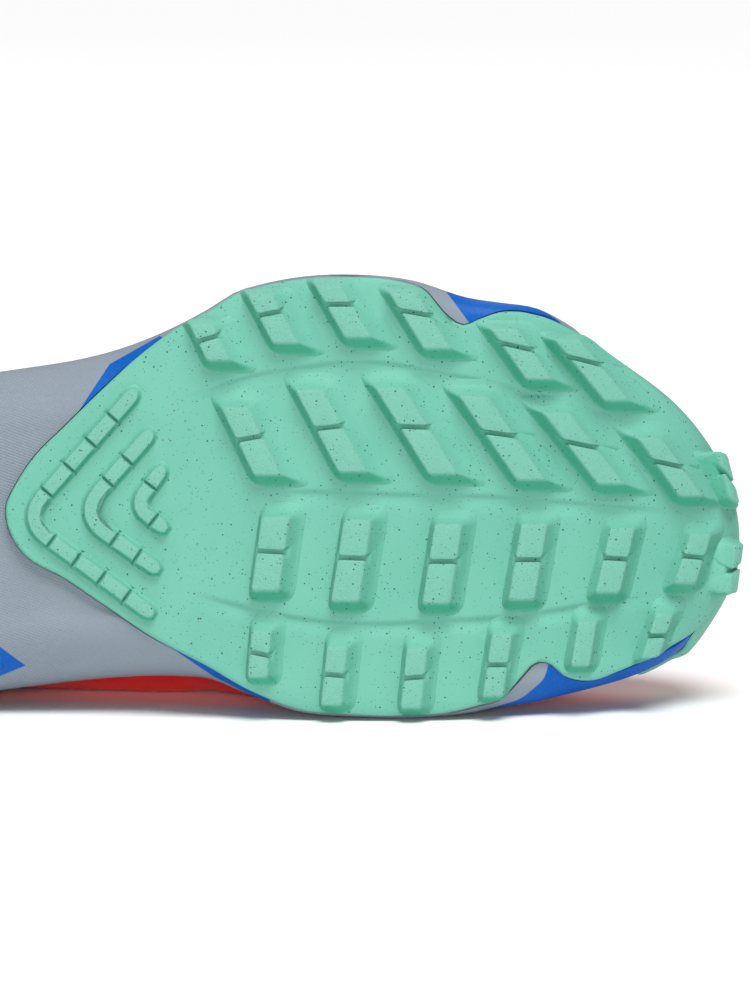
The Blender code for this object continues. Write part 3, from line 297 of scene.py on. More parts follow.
# Top line of the upper, from the toe to the heel:
# (station, along, centre, half opening, height, arc in degrees, lateral belly, medial belly)
TOP_LINE = [
    (1.000, 0.920, -0.010, 0.000, 62.5 * MM, 90, 0.0 * MM, 0.0 * MM),
    (0.950, 0.892, -0.014, 0.000, 65.0 * MM, 90, 0.4 * MM, 0.4 * MM),
    (0.880, 0.850, -0.020, 0.000, 68.0 * MM, 90, 0.8 * MM, 0.8 * MM),
    (0.800, 0.796, -0.028, 0.000, 72.0 * MM, 90, 1.2 * MM, 1.2 * MM),
    (0.735, 0.738, -0.034, 0.000, 77.0 * MM, 90, 1.4 * MM, 1.6 * MM),
    (0.690, 0.690, -0.034, 0.075, 81.5 * MM, 74, 1.4 * MM, 2.4 * MM),
    (0.600, 0.600, -0.030, 0.112, 91.0 * MM, 66, 1.2 * MM, 5.6 * MM),
    (0.500, 0.506, -0.020, 0.140, 101.0 * MM, 60, 1.2 * MM, 9.0 * MM),
    (0.425, 0.434, -0.012, 0.174, 106.5 * MM, 52, 1.4 * MM, 5.4 * MM),
    (0.360, 0.368, -0.006, 0.236, 98.0 * MM, 40, 1.6 * MM, 3.0 * MM),
    (0.290, 0.300, 0.000, 0.270, 87.0 * MM, 30, 1.6 * MM, 1.8 * MM),
    (0.210, 0.222, 0.000, 0.280, 82.5 * MM, 26, 2.0 * MM, 2.0 * MM),
    (0.130, 0.140, 0.000, 0.248, 88.5 * MM, 24, 2.6 * MM, 2.6 * MM),
    (0.050, 0.064, 0.000, 0.160, 99.0 * MM, 22, 3.0 * MM, 3.0 * MM),
    (0.000, 0.030, 0.000, 0.000, 105.0 * MM, 20, 3.2 * MM, 3.2 * MM),
]

# Charted lugs: (row, along, across, length, width, lean in degrees, turn of the sipe in degrees or None)
LUGS = [
    ("outer", 0.554, -0.445, 0.080, 0.052, 26, -16),
    ("outer", 0.606, -0.498, 0.108, 0.056, 28, -11),
    ("outer", 0.664, -0.516, 0.118, 0.058, 30, 0),
    ("outer", 0.727, -0.494, 0.124, 0.060, 32, 10),
    ("outer", 0.810, -0.420, 0.112, 0.060, 36, 12),
    ("outer", 0.868, -0.384, 0.136, 0.058, 41, 13),
    ("lateral", 0.588, -0.223, 0.152, 0.060, 26, -10),
    ("lateral", 0.654, -0.246, 0.184, 0.062, 28, -6),
    ("lateral", 0.724, -0.246, 0.194, 0.064, 32, 2),
    ("lateral", 0.794, -0.230, 0.188, 0.064, 35, 8),
    ("lateral", 0.861, -0.207, 0.160, 0.062, 39, 11),
    ("lateral", 0.933, -0.165, 0.130, 0.058, 38, 11),
    ("medial", 0.604, 0.031, 0.166, 0.062, -8, 3),
    ("medial", 0.671, 0.046, 0.184, 0.062, -9, 2),
    ("medial", 0.745, 0.054, 0.178, 0.062, -9, 0),
    ("medial", 0.815, 0.050, 0.170, 0.060, -10, 0),
    ("medial", 0.887, 0.047, 0.146, 0.058, -14, 3),
    ("medial", 0.952, 0.043, 0.112, 0.054, -20, 5),
    ("inner", 0.595, 0.258, 0.104, 0.044, -5, 12),
    ("inner", 0.657, 0.306, 0.132, 0.046, -6, 5),
    ("inner", 0.722, 0.312, 0.134, 0.046, -6, -5),
    ("inner", 0.790, 0.284, 0.140, 0.046, -9, 0),
    ("inner", 0.861, 0.237, 0.098, 0.044, -10, None),
    ("inner", 0.922, 0.220, 0.100, 0.042, -20, -2),
    ("toe", 0.979, -0.136, 0.104, 0.034, 24, 28),
    ("toe", 0.985, 0.064, 0.110, 0.034, -12, -14),
    ("heel", 0.070, -0.180, 0.130, 0.070, 24, 0),
    ("heel", 0.070, 0.180, 0.130, 0.070, -24, 0),
    ("heel", 0.140, -0.250, 0.150, 0.070, -24, 0),
    ("heel", 0.140, 0.250, 0.150, 0.070, 24, 0),
    ("heel", 0.210, -0.255, 0.160, 0.070, -24, 0),
    ("heel", 0.210, 0.250, 0.160, 0.070, 24, 0),
    ("heel", 0.272, -0.250, 0.120, 0.060, -24, 0),
    ("heel", 0.272, 0.242, 0.120, 0.060, 24, 0),
    ("heel", 0.110, 0.000, 0.150, 0.070, 0, 0),
    ("heel", 0.190, 0.000, 0.150, 0.070, 0, 0),
]

# How far a lug's flanks spread and then trail off: (row, rear, front, lateral end, medial end)
FLANKS = {
    "outer": ((1.3 * MM, 0.3 * MM), (3.8 * MM, 1.8 * MM), (1.6 * MM, 0.8 * MM), (2.6 * MM, 0.5 * MM)),
    "lateral": ((1.3 * MM, 0.3 * MM), (3.8 * MM, 2.0 * MM), (2.4 * MM, 2.0 * MM), (2.6 * MM, 0.5 * MM)),
    "medial": ((0.5 * MM, 0.2 * MM), (3.2 * MM, 0.8 * MM), (2.0 * MM, 1.6 * MM), (2.6 * MM, 0.5 * MM)),
    "inner": ((0.5 * MM, 0.2 * MM), (2.8 * MM, 0.8 * MM), (2.8 * MM, 1.8 * MM), (1.7 * MM, 0.5 * MM)),
    "toe": ((1.0 * MM, 0.4 * MM), (1.4 * MM, 0.6 * MM), (1.2 * MM, 0.6 * MM), (1.2 * MM, 0.4 * MM)),
    "heel": ((2.2 * MM, 0.5 * MM), (1.2 * MM, 0.5 * MM), (1.6 * MM, 0.5 * MM), (1.6 * MM, 0.5 * MM)),
}

# Rounded profile of a lug, from its tip to below the sheet:
# (height share, flank share, outward, corner radius, trail share)
LUG_PROFILE = [
    (1.00, 0.00, -0.50 * MM, 0.40 * MM, 0.00),
    (0.985, 0.00, -0.20 * MM, 0.50 * MM, 0.00),
    (0.94, 0.02, 0.00 * MM, 0.60 * MM, 0.00),
    (0.70, 0.24, 0.00 * MM, 0.80 * MM, 0.00),
    (0.40, 0.56, 0.00 * MM, 1.20 * MM, 0.05),
    (0.18, 0.82, 0.00 * MM, 1.80 * MM, 0.22),
    (0.06, 0.98, 0.00 * MM, 2.40 * MM, 0.58),
    (0.00, 1.06, 0.00 * MM, 2.80 * MM, 1.00),
    (-0.08, 1.10, 0.00 * MM, 3.00 * MM, 1.25),
]
# What closes the sipe's lower half: the same flanks, from the sipe's floor down
CORE_PROFILE = [
    (0.56, 0.34, -0.02 * MM, 0.80 * MM, 0.00),
    (0.54, 0.40, -0.02 * MM, 0.90 * MM, 0.02),
    *[(high, share, out - 0.015 * MM, radius, more) for high, share, out, radius, more in LUG_PROFILE[4:]],
]
# Where the sipe cuts each row's lugs, as a share of half their length towards the lateral end
SIPE_PLACE = {"outer": 0.26, "lateral": 0.09, "medial": 0.06, "inner": 0.02, "toe": 0.0, "heel": 0.0}

# Chevron ribs: (lateral end, bend, medial end) as (along, across), then the sipes' shares on either arm
CHEVRONS = [
    ((0.493, -0.338), (0.398, -0.046), (0.507, 0.170), (0.22, 0.42, 0.62, 0.82), (0.21, 0.41, 0.61, 0.81)),
    ((0.506, -0.246), (0.445, -0.058), (0.512, 0.070), (0.37, 0.65), (0.29, 0.60)),
    ((0.516, -0.166), (0.492, -0.078), (0.518, -0.022), (0.52,), (0.44,)),
]
CHEVRON_WIDTH = 3.5 * MM
CHEVRON_SIPE = 0.84 * MM
# Profile of a chevron rib, from its tip to below the sheet: (height share, flank share, outward)
RIB_PROFILE = [
    (1.00, 0.00, -0.35 * MM),
    (0.97, 0.00, -0.14 * MM),
    (0.88, 0.00, 0.00 * MM),
    (0.50, 0.40, 0.00 * MM),
    (0.18, 0.85, 0.05 * MM),
    (0.05, 1.00, 0.25 * MM),
    (-0.08, 1.00, 0.60 * MM),
]
RIB_SPREAD = 0.6 * MM

# Flex grooves as plan lines of (along, across)
FLEX_LINES = [
    ((0.529, -0.311), (0.553, -0.334), (0.592, -0.368), (0.640, -0.388), (0.672, -0.397), (0.703, -0.393),
     (0.736, -0.379), (0.774, -0.357), (0.818, -0.332), (0.844, -0.314), (0.871, -0.293), (0.898, -0.282)),
    ((0.588, -0.101), (0.630, -0.104), (0.664, -0.102), (0.715, -0.097), (0.795, -0.092), (0.862, -0.078),
     (0.916, -0.065), (0.952, -0.056)),
    ((0.529, 0.122), (0.563, 0.143), (0.597, 0.166), (0.630, 0.183), (0.664, 0.192), (0.698, 0.194),
     (0.749, 0.187), (0.786, 0.183), (0.827, 0.171), (0.868, 0.153), (0.896, 0.142), (0.930, 0.126)),
]
GROOVE_DEPTH = 0.75 * MM


def linear(red, green, blue):
    """A colour from its 0 to 255 values."""
    shares = [value / 255 for value in (red, green, blue)]
    return tuple(s / 12.92 if s <= 0.04045 else ((s + 0.055) / 1.055) ** 2.4 for s in shares) + (1.0,)


# Colours
MINT = linear(99, 170, 150)
MINT_WARM = linear(103, 173, 153)
MINT_LIGHT = linear(108, 172, 153)
# Colour of the painted shade on the lugs' flanks that face the floor
MINT_PAINTED_SHADE = linear(34, 146, 112)
MINT_SPECK = linear(20, 62, 56)
LACE_MINT = linear(134, 219, 188)
LACE_SHADE = linear(84, 178, 148)
GREY = linear(130, 140, 150)
GREY_COOL = linear(126, 137, 147)
GREY_DARK = linear(110, 122, 134)
TONGUE_GREY = linear(168, 178, 190)
TONGUE_SHADE = linear(120, 132, 146)
LINING = linear(52, 60, 74)
LINING_LIGHT = linear(70, 80, 96)
BLUE = linear(0, 88, 176)
BLUE_DARK = linear(0, 78, 158)
INSOLE_BLUE = linear(0, 70, 170)
INSOLE_LIGHT = linear(18, 92, 200)
CRIMSON = linear(196, 14, 12)
CRIMSON_DARK = linear(182, 26, 18)
CRIMSON_LIGHT = linear(240, 66, 44)
# Colour of the painted shade inside the knit's holes
CRIMSON_HOLE_SHADE = linear(110, 12, 10)
RED = linear(246, 14, 10)
RED_DARK = linear(222, 8, 8)
THREAD = linear(226, 60, 44)
THREAD_SHADE = linear(150, 14, 12)
FLOOR = (0.93, 0.93, 0.93, 1)
FLOOR_LIGHT = (0.95, 0.95, 0.95, 1)

# Two sets of specks in the rubber: (scale, share left bare, least size, largest size)
SPECKS = [
    (0.80, 0.10, 0.07, 0.23),
    (1.55, 0.10, 0.05, 0.22),
]

# Blue zones of the foam: each lies past all of its planes, as (normal, offset in millimetres)
BLUE_ZONES = [
    [((0.810, -0.587, 0), 222.3), ((0, -1, 0), 50), ((0, 0, -1), -15), ((-1, 0, 0), -262)],
    [((0.966, 0.261, 0), 254.4), ((0, 1, 0), 20), ((-1, 0, 0), -297)],
    [((0.650, 0.760, 0), 191.9), ((0, 1, 0), 20), ((-1, 0, 0), -297)],
    [((0.275, 0.962, 0), 107.2), ((0, 1, 0), 20), ((-1, 0, 0), -297)],
    [((0.843, 0.539, 0), 96.8), ((0.495, 0.869, 0), 32.2), ((0, -1, 0), 30), ((-1, 0, -0.5), -161)],
    [((-0.602, 0.798, 0), -48.0), ((-0.379, -0.926, 0), -75.8), ((1, 0, 0), 104), ((0, 1, 0), 16)],
    [((0.570, -0.821, 0), 68.2), ((0.444, -0.896, 0), 44.2), ((0, 1, 0), 27), ((-1, 0, 0), -184)],
]
BLUE_ROUND = 1.6
BLUE_BLUR = 0.12

# The foam's two sets of fine lines, as (angle, strength), and the pitch of the mesh in millimetres
WEAVE_LINES = ((-1.92, 1.0), (0.35, 0.6))
WEAVE_SCALE = 0.46
MESH_PITCH = 3.0

# The view, the lights and the floor
VIEW_CENTRE = Vector((210.7, -10.1, 2.0)) * MM
VIEW_WIDTH = 252.8
LENS = 250
SURROUND = 0.22
KEY_ANGLE = math.radians(34)
KEY_STRENGTH = 3.05
FRONT_POWER = 11
BACK_POWER = 6
FLOOR_REACH = 6


def hermite(values, slopes, span, t, step=1):
    """Smooth values at shares t of their spans, which are step long."""
    return (
        (2 * t**3 - 3 * t**2 + 1) * values[span]
        + (t**3 - 2 * t**2 + t) * step * slopes[span]
        + (3 * t**2 - 2 * t**3) * values[span + 1]
        + (t**3 - t**2) * step * slopes[span + 1]
    )


def curve(keys, values, at):
    """Smooth curve through the table's values, with the end slopes of its end spans."""
    keys, values = np.asarray(keys, float), np.asarray(values, float)
    slopes = np.gradient(values, keys)
    at = np.clip(np.asarray(at, float), keys[0], keys[-1])
    span = np.clip(np.searchsorted(keys, at, side="right") - 1, 0, len(keys) - 2)
    step = keys[span + 1] - keys[span]
    return hermite(values, slopes, span, (at - keys[span]) / step, step)


def column(table, index, at):
    """A smooth curve through one column of a table, by its first column."""
    return curve([row[0] for row in table], [row[index] for row in table], at)


def smooth_step(low, high, value):
    """A rise from 0 to 1 between two values, level at both ends."""
    t = np.clip((np.asarray(value, float) - low) / (high - low), 0, 1)
    return t * t * (3 - 2 * t)


def unit(vectors):
    """The same vectors at a length of 1."""
    return vectors / np.maximum(np.linalg.norm(vectors, axis=-1, keepdims=True), 1e-12)


def lengths(line):
    """Distance along a polyline to each of its points."""
    return np.concatenate([[0], np.cumsum(np.linalg.norm(np.diff(line, axis=0), axis=1))])


def read_at(at, keys, rows):
    """Rows of values read at some places between their keys."""
    return np.stack([np.interp(at, keys, rows[:, c]) for c in range(rows.shape[1])], axis=-1)


def from_ends(count):
    """Steps from each place in a row to the nearer end of it."""
    return np.minimum(np.arange(count), np.arange(count)[::-1])


def eased(count, even=0.45):
    """Places from -1 to 1, closer together at both ends."""
    places = np.linspace(-1, 1, count)
    return even * places + (1 - even) * np.sin(places * math.pi / 2)


def soft_edge(distance, reach, drop):
    """Share of the full height: 1 away from a rounded edge and less on it."""
    return np.sqrt(1 - np.clip(1 - distance / reach, 0, 1) ** 2 * drop)


def along_of(way):
    """Share of the length at a way round the sole: 0 at the toe, 1 at the heel and 2 at the toe again."""
    return (1 + np.cos(math.pi * way)) / 2


def way_to(along, side=-1):
    """Way round the sole to a share of the length, on the lateral side (-1) or the medial one (1)."""
    way = np.arccos(np.clip(2 * along - 1, -1, 1)) / math.pi
    return way if side < 0 else 2 - way


def round_end(distance, reach):
    """From 0 at a rounded end to 1 where the side begins, distance and reach in shares of the length."""
    away = np.clip(1 - np.asarray(distance, float) / reach, 0, 1)
    return np.sqrt(1 - away**2.5)


def sole_side(along, index):
    """Distance of the sole's edge from its axis on one side; index 1 is lateral and 2 medial."""
    along = np.clip(along, 0, 1)
    ends = round_end(along, HEEL_ROUND) * round_end(1 - along, TOE_ROUND)
    return column(SOLE_PLAN, index, along) * ends * BALL_WIDTH


def turn_stations(count):
    """Shares of the length from toe to heel, close together where the outline turns round the ends."""
    return (1 + np.cos(np.linspace(0, math.pi, count + 1))) / 2


def ring_points(way):
    """Plan points of the sole's edge at some ways round it."""
    way = np.mod(way, 2)
    along = along_of(way)
    across = np.where(way > 1, sole_side(along, 2), -sole_side(along, 1))
    return np.stack([along * SHOE_LENGTH, across], axis=1)


class Ring:
    """Plan points at some ways round the sole, with their outward normals."""

    def __init__(self, way):
        self.way = np.mod(np.asarray(way, float), 2)
        self.points = ring_points(self.way)
        self.along = self.points[:, 0] / SHOE_LENGTH
        self.medial = self.way > 1
        step = 0.003
        run = unit(ring_points(self.way + step) - ring_points(self.way - step))
        self.out = np.stack([-run[:, 1], run[:, 0]], axis=1)

    def table(self, table, lateral, medial):
        """A value for each ring point, from the table's lateral and medial columns."""
        both = column(table, medial, self.along), column(table, lateral, self.along)
        return np.where(self.medial, *both)

    def inset(self, distance):
        return self.points - self.out * np.asarray(distance, float).reshape(-1, 1)


RING = Ring(np.arange(2 * RING_STATIONS) / RING_STATIONS)


def tread(x):
    """Height of the lug tips: flat, with toe spring in front and a bevel at the heel."""
    along = x / SHOE_LENGTH
    spring = np.clip((along - TOE_SPRING_START) / (1 - TOE_SPRING_START), 0, 1)
    bevel = np.clip((HEEL_BEVEL_END - along) / HEEL_BEVEL_END, 0, 1)
    return TOE_SPRING * spring**2.1 + HEEL_BEVEL * bevel**2


def footbed(x):
    """Height of the footbed along the shoe."""
    return tread(x) + column(FOOTBED, 1, x / SHOE_LENGTH)


def rim(x):
    """Height of the midsole's rim along the shoe."""
    return footbed(x) + column(FOOTBED, 2, x / SHOE_LENGTH)


def distance_to(line, points, closed=True):
    """Distance of each plan point from a polyline."""
    start = line if closed else line[:-1]
    run = np.roll(line, -1, axis=0) - line if closed else np.diff(line, axis=0)
    found = np.empty(len(points))
    for low in range(0, len(points), 2000):
        from_start = points[low : low + 2000, None, :] - start[None, :, :]
        share = np.clip((from_start * run).sum(2) / np.maximum((run**2).sum(1), 1e-16), 0, 1)
        found[low : low + 2000] = np.linalg.norm(from_start - share[..., None] * run, axis=2).min(1)
    return found


def edge_roll(points):
    """Rise of the outsole towards the sole's edge, strongest where it wraps the toe and the heel."""
    along = points[:, 0] / SHOE_LENGTH
    toe, heel = smooth_step(0.90, 0.985, along), smooth_step(0.08, 0, along)
    radius = EDGE_ROLL + (EDGE_ROLL_TOE - EDGE_ROLL) * toe + (EDGE_ROLL_HEEL - EDGE_ROLL) * heel
    steepness = 0.62 + 0.32 * toe + 0.20 * heel
    inside = steepness * np.clip(radius - distance_to(RING.points, points), 0, radius)
    return radius - np.sqrt(radius**2 - inside**2)


def outsole_face(points):
    """Height of the ground side of the rubber sheet, between the lugs."""
    return tread(points[:, 0]) + LUG_HEIGHT + edge_roll(points)


def face_normals(points):
    """Unit normals of the sheet's ground side, into the shoe."""
    step = 0.2 * MM
    slope_x = outsole_face(points + (step, 0)) - outsole_face(points - (step, 0))
    slope_y = outsole_face(points + (0, step)) - outsole_face(points - (0, step))
    return unit(np.stack([-slope_x, -slope_y, np.full(len(points), 2 * step)], axis=1))


def above_face(points, distance):
    """Points at a distance from the sheet's ground side, square to it and into the shoe."""
    return np.column_stack([points, outsole_face(points)]) + face_normals(points) * distance


class Mesh:
    """Points and faces gathered into one piece, each point with named values beside it."""

    def __init__(self, *layers):
        self.points, self.faces, self.slots = [], [], []
        self.layers = {name: [] for name in layers}
        self.slot = 0

    def add(self, points, **values):
        start = len(self.points)
        points = np.asarray(points, float).reshape(-1, 3)
        self.points.extend(map(tuple, points))
        for name, kept in self.layers.items():
            kept.extend(np.broadcast_to(values.get(name, 0.0), len(points)).tolist())
        return list(range(start, len(self.points)))

    def face(self, *corners):
        self.faces.append(corners)
        self.slots.append(self.slot)

    def strip(self, first, second, closed=True):
        """Quads between two rows of points."""
        count = len(first)
        for i in range(count if closed else count - 1):
            j = (i + 1) % count
            self.face(first[i], first[j], second[j], second[i])

    def strips(self, rows, closed=True):
        """Quads between each row of points and the next."""
        for first, second in zip(rows, rows[1:]):
            self.strip(first, second, closed)

    def tube(self, rings):
        """Quads from ring to ring, and both ends filled."""
        self.strips(rings)
        self.fan(rings[0])
        self.fan(rings[-1])

    def panel(self, outer, inner, around, share):
        """A thin closed panel between two grids of points, with its edge."""
        loops = []
        for grid in (outer, inner):
            rows = [self.add(row, around=a, up=s * 90) for row, a, s in zip(grid, around, share)]
            self.strips(rows, closed=False)
            low, high = [r[0] for r in rows], [r[-1] for r in rows[-2::-1]]
            loops.append(low + rows[-1][1:] + high + rows[0][-2:0:-1])
        self.strip(*loops)

    def fan(self, ring):
        """Fills a ring with triangles round its middle."""
        middle = np.mean([self.points[i] for i in ring], axis=0)
        values = {name: np.mean([kept[i] for i in ring]) for name, kept in self.layers.items()}
        centre = self.add([middle], **values)[0]
        for a, b in zip(ring, ring[1:] + ring[:1]):
            self.face(a, b, centre)

    def across(self, ring, heights, count):
        """Fills a ring of the sole from side to side, with middle columns at the given heights."""
        half = len(ring) // 2
        shares = np.linspace(0, 1, count + 1)[1:-1, None]
        rows = [[ring[0]] * (len(shares) + 2)]
        for i in range(1, half):
            a, b = np.array(self.points[ring[i]]), np.array(self.points[ring[-i]])
            points = a * (1 - shares) + b * shares
            points[:, 2] = heights(points)
            rows.append([ring[i], *self.add(points), ring[-i]])
        rows.append([ring[half]] * (len(shares) + 2))
        for first, second in zip(rows, rows[1:]):
            for k in range(len(shares) + 1):
                corners = [first[k], first[k + 1], second[k + 1], second[k]]
                corners = [c for n, c in enumerate(corners) if c != corners[n - 1]]
                self.face(*corners)

    def object(self, name, materials, smooth=40):
        mesh = bpy.data.meshes.new(name)
        mesh.from_pydata(self.points, [], self.faces)
        for layer, kept in self.layers.items():
            mesh.attributes.new(layer, "FLOAT", "POINT").data.foreach_set("value", kept)
        mesh.polygons.foreach_set("material_index", self.slots)
        work = bmesh.new()
        work.from_mesh(mesh)
        bmesh.ops.remove_doubles(work, verts=work.verts, dist=0.000004)
        bmesh.ops.recalc_face_normals(work, faces=work.faces)
        work.transform(LYING)
        work.to_mesh(mesh)
        work.free()
        for material in materials:
            mesh.materials.append(material)
        made = bpy.data.objects.new(name, mesh)
        bpy.context.collection.objects.link(made)
        made.data.shade_smooth()
        made.data.set_sharp_from_angle(angle=math.radians(smooth))
        return made


def cover(body, rows):
    """Adds one face of a sheet from its rows of points and returns its edge; a row may hold one point."""
    index = [body.add(row) for row in rows]
    for first, second in zip(index, index[1:]):
        if len(first) == len(second):
            body.strip(first, second, closed=False)
        else:
            tip, row = sorted((first, second), key=len)
            for a, b in zip(row, row[1:]):
                body.face(tip[0], a, b)
    return [index[i][k] for i, k in sheet_loop(rows)]


def sheet_loop(rows):
    """The edge of a sheet as (row, column) pairs: front row, lateral side, last row, medial side."""
    last = len(rows) - 1
    return (
        [(0, k) for k in range(len(rows[0]) - 1, -1, -1)]
        + [(i, 0) for i in range(1, last)]
        + [(last, k) for k in range(len(rows[last]))]
        + [(i, len(rows[i]) - 1) for i in range(last - 1, 0, -1)]
    )


def front_edges(count):
    """Lateral and medial edges of the forefoot rubber, toe to rear point."""
    tip, across = FRONT_TIP
    along = tip + (1 - tip) * (0.85 * turn_stations(count) + 0.15 * np.linspace(1, 0, count + 1))
    ends = round_end(along - tip, FRONT_TIP_ROUND)
    toe = round_end(1 - along, TOE_ROUND)
    edges = []
    for index, sign in ((1, -1), (2, 1)):
        wide = sign * column(FRONT_PLAN, index, along) * toe
        share = across * toe + (wide - across * toe) * ends
        limit = sole_side(along, index) - EDGE_MARGIN * toe
        side = sign * np.minimum(sign * share * BALL_WIDTH, limit)
        edges.append(np.stack([along * SHOE_LENGTH, side], axis=1))
    edges[0][0] = edges[1][0] = (SHOE_LENGTH - EDGE_MARGIN, 0)
    edges[0][-1] = edges[1][-1] = (tip * SHOE_LENGTH, across * BALL_WIDTH)
    return edges


def groove_line(number, along):
    """Place across the sole of one flex groove along the shoe."""
    return column(FLEX_LINES[number], 1, along) * BALL_WIDTH


def front_columns(low, high, along):
    """Points across the forefoot rubber, dense at its edges and along the flex grooves."""
    full = high - low
    tight = min(1.0, full / (60 * MM))
    stops = [low + EDGE_STEPS * tight]
    for number in range(len(FLEX_LINES)):
        stops.append(groove_line(number, along) + GROOVE_STEPS * tight)
    stops.append(high - EDGE_STEPS[::-1] * tight)
    placed = [stops[0]]
    for fill, before, after in zip(FILLS, stops, stops[1:]):
        placed.append(np.linspace(before[-1], after[0], fill + 2)[1:-1])
        placed.append(after)
    placed = np.concatenate(placed)
    count = len(placed)
    edge = len(EDGE_STEPS)
    middle = np.linspace(EDGE_STEPS[-1] * tight, full - EDGE_STEPS[-1] * tight, count - 2 * edge + 2)
    even = low + np.concatenate([EDGE_STEPS[:-1] * tight, middle, full - EDGE_STEPS[-2::-1] * tight])
    blend = float(smooth_step(0.50, 0.57, along) * smooth_step(0.985, 0.955, along))
    mixed = even * (1 - blend) + placed * blend
    return np.maximum.accumulate(np.clip(mixed, low, high))


def front_rows():
    """Points of the forefoot rubber's sheet, row by row from the rear to the toe."""
    lateral, medial = front_edges(SHEET_STATIONS)
    rows = [lateral[:1]]
    for a, b in zip(lateral[1:-1], medial[1:-1]):
        across = front_columns(a[1], b[1], a[0] / SHOE_LENGTH)
        rows.append(np.column_stack([np.full(len(across), a[0]), across]))
    return rows + [lateral[-1:]]


def heel_edge(index, along):
    """Distance of the heel rubber's edge from the shoe's axis on one side."""
    wide = column(BACK_PLAN, index, along) * BALL_WIDTH * round_end(along, HEEL_ROUND)
    return np.clip(wide, 0, sole_side(along, index) - EDGE_MARGIN)


def heel_rows():
    """Plan points of the heel rubber, from its notched front edge to the heel."""
    shares = (1 - np.cos(np.linspace(0, math.pi, HEEL_COLUMNS + 1))) / 2
    shares = 0.5 * shares + 0.5 * np.linspace(0, 1, HEEL_COLUMNS + 1)
    front = column(BACK_NOTCH, 1, shares)
    rows = []
    for turn in np.linspace(math.pi / 2, 0, HEEL_ROWS + 1)[:-1]:
        along = front * (1 - math.cos(turn))
        across = -heel_edge(1, along) * (1 - shares) + heel_edge(2, along) * shares
        rows.append(np.stack([along * SHOE_LENGTH, across], axis=1))
    return rows + [np.array([[EDGE_MARGIN, 0.0]])]


def rounding(distance, radius):
    """How far a rounded edge drops back, from its distance to the edge."""
    inside = np.clip(radius - distance, 0, radius)
    return radius - np.sqrt(radius**2 - inside**2)


def groove_depth(points):
    """Depth of the flex grooves: a steep lateral wall and a long medial one."""
    along = points[:, 0] / SHOE_LENGTH
    depth = np.zeros(len(points))
    for number, line in enumerate(FLEX_LINES):
        first, last = line[0][0], line[-1][0]
        fade = smooth_step(first, first + 0.05, along) * smooth_step(last, last - 0.06, along)
        off = points[:, 1] - groove_line(number, along)
        steep = smooth_step(-1.4 * MM, 0.1 * MM, off)
        long = smooth_step(3.6 * MM, 0.1 * MM, off)
        depth = np.maximum(depth, GROOVE_DEPTH * fade * np.where(off < 0.1 * MM, steep, long))
    return depth


def sheet(body, rows, grooved):
    """A rubber sheet over the plan points, with a rounded ground edge and dipped flex grooves."""
    loop = np.array([rows[i][k] for i, k in sheet_loop(rows)])
    sizes = [len(row) for row in rows]
    flat = np.concatenate(rows)
    back = rounding(distance_to(loop, flat), EDGE_ROUND)
    if grooved:
        back = back + groove_depth(flat)
    ground = above_face(flat, 0) + face_normals(flat) * back[:, None]
    stops = np.cumsum(sizes)[:-1]
    low = cover(body, np.split(ground, stops))
    high = cover(body, np.split(above_face(flat, SHEET_THICKNESS), stops))
    body.strip(low, high)


def rounded_corners(corners, radius, steps=4):
    """A polygon's outline with each corner turned into an arc."""
    corners = np.asarray(corners, float)
    outline = []
    for n, corner in enumerate(corners):
        before, after = corners[n - 1] - corner, corners[(n + 1) % len(corners)] - corner
        sizes = np.linalg.norm(before), np.linalg.norm(after)
        reach = min(radius * 1.4, 0.46 * min(sizes))
        start, end = corner + before / sizes[0] * reach, corner + after / sizes[1] * reach
        for t in np.linspace(0, 1, steps + 1):
            outline.append(start * (1 - t) ** 2 + corner * 2 * t * (1 - t) + end * t**2)
    return np.array(outline)


def within_sheet(plan):
    """The same plan points, those of the forefoot held inside the edge of its rubber."""
    if plan[:, 0].mean() < FRONT_TIP[0] * SHOE_LENGTH:
        return plan
    lateral, medial = (edge[::-1] for edge in front_edges(SHEET_STATIONS))
    x = np.minimum(plan[:, 0], SHOE_LENGTH - 1.2 * MM)
    low = np.interp(x, lateral[:, 0], lateral[:, 1]) + 0.35 * MM
    high = np.interp(x, medial[:, 0], medial[:, 1]) - 0.35 * MM
    return np.stack([x, np.clip(plan[:, 1], low, high)], axis=1)


def outward(outline):
    """Outward plan normals of a closed outline, whichever way it runs."""
    run = unit(np.roll(outline, -1, axis=0) - np.roll(outline, 1, axis=0))
    x, y = outline.T
    turn = 1 if np.sum(x * np.roll(y, -1) - y * np.roll(x, -1)) > 0 else -1
    return np.stack([run[:, 1], -run[:, 0]], axis=1) * turn


def raised(body, origin, outlines, heights, tall):
    """A lug or rib from its outlines, tip first: its tip is flat and its root follows the sheet."""
    origin = np.asarray(origin, float)
    centre = above_face(origin[None], 0)[0]
    up = -face_normals(origin[None])[0]
    ahead = np.array([1.0, 0, 0])
    ahead = unit(ahead - up * (ahead @ up))
    side = np.cross(ahead, up)
    if side[1] < 0:
        side = -side
    rings = []
    for outline, height in zip(outlines, heights):
        plan = within_sheet(origin + outline)
        outline = plan - origin
        flat = centre + outline[:, :1] * ahead + outline[:, 1:] * side + up * height
        dip = groove_depth(plan) if height < 0.5 * tall else 0.0
        follow = above_face(plan, 0) + face_normals(plan) * np.reshape(dip - height, (-1, 1))
        share = float(smooth_step(0.05, 0.85, height / tall))
        top = 1.0 if height > 0.9 * tall else 0.0
        steep = float(smooth_step(0.98, 0.75, height / tall) * smooth_step(-0.1, 0.2, height / tall))
        # Painted shade: steep flanks facing the medial side, which lies on the floor, are marked for a
        # darker colour
        shade = steep * np.clip(1.7 * outward(outline)[:, 1], 0, 1)
        rings.append(body.add(flat * share + follow * (1 - share), tip=top, shade=shade))
    body.strips(rings)
    body.fan(rings[0])


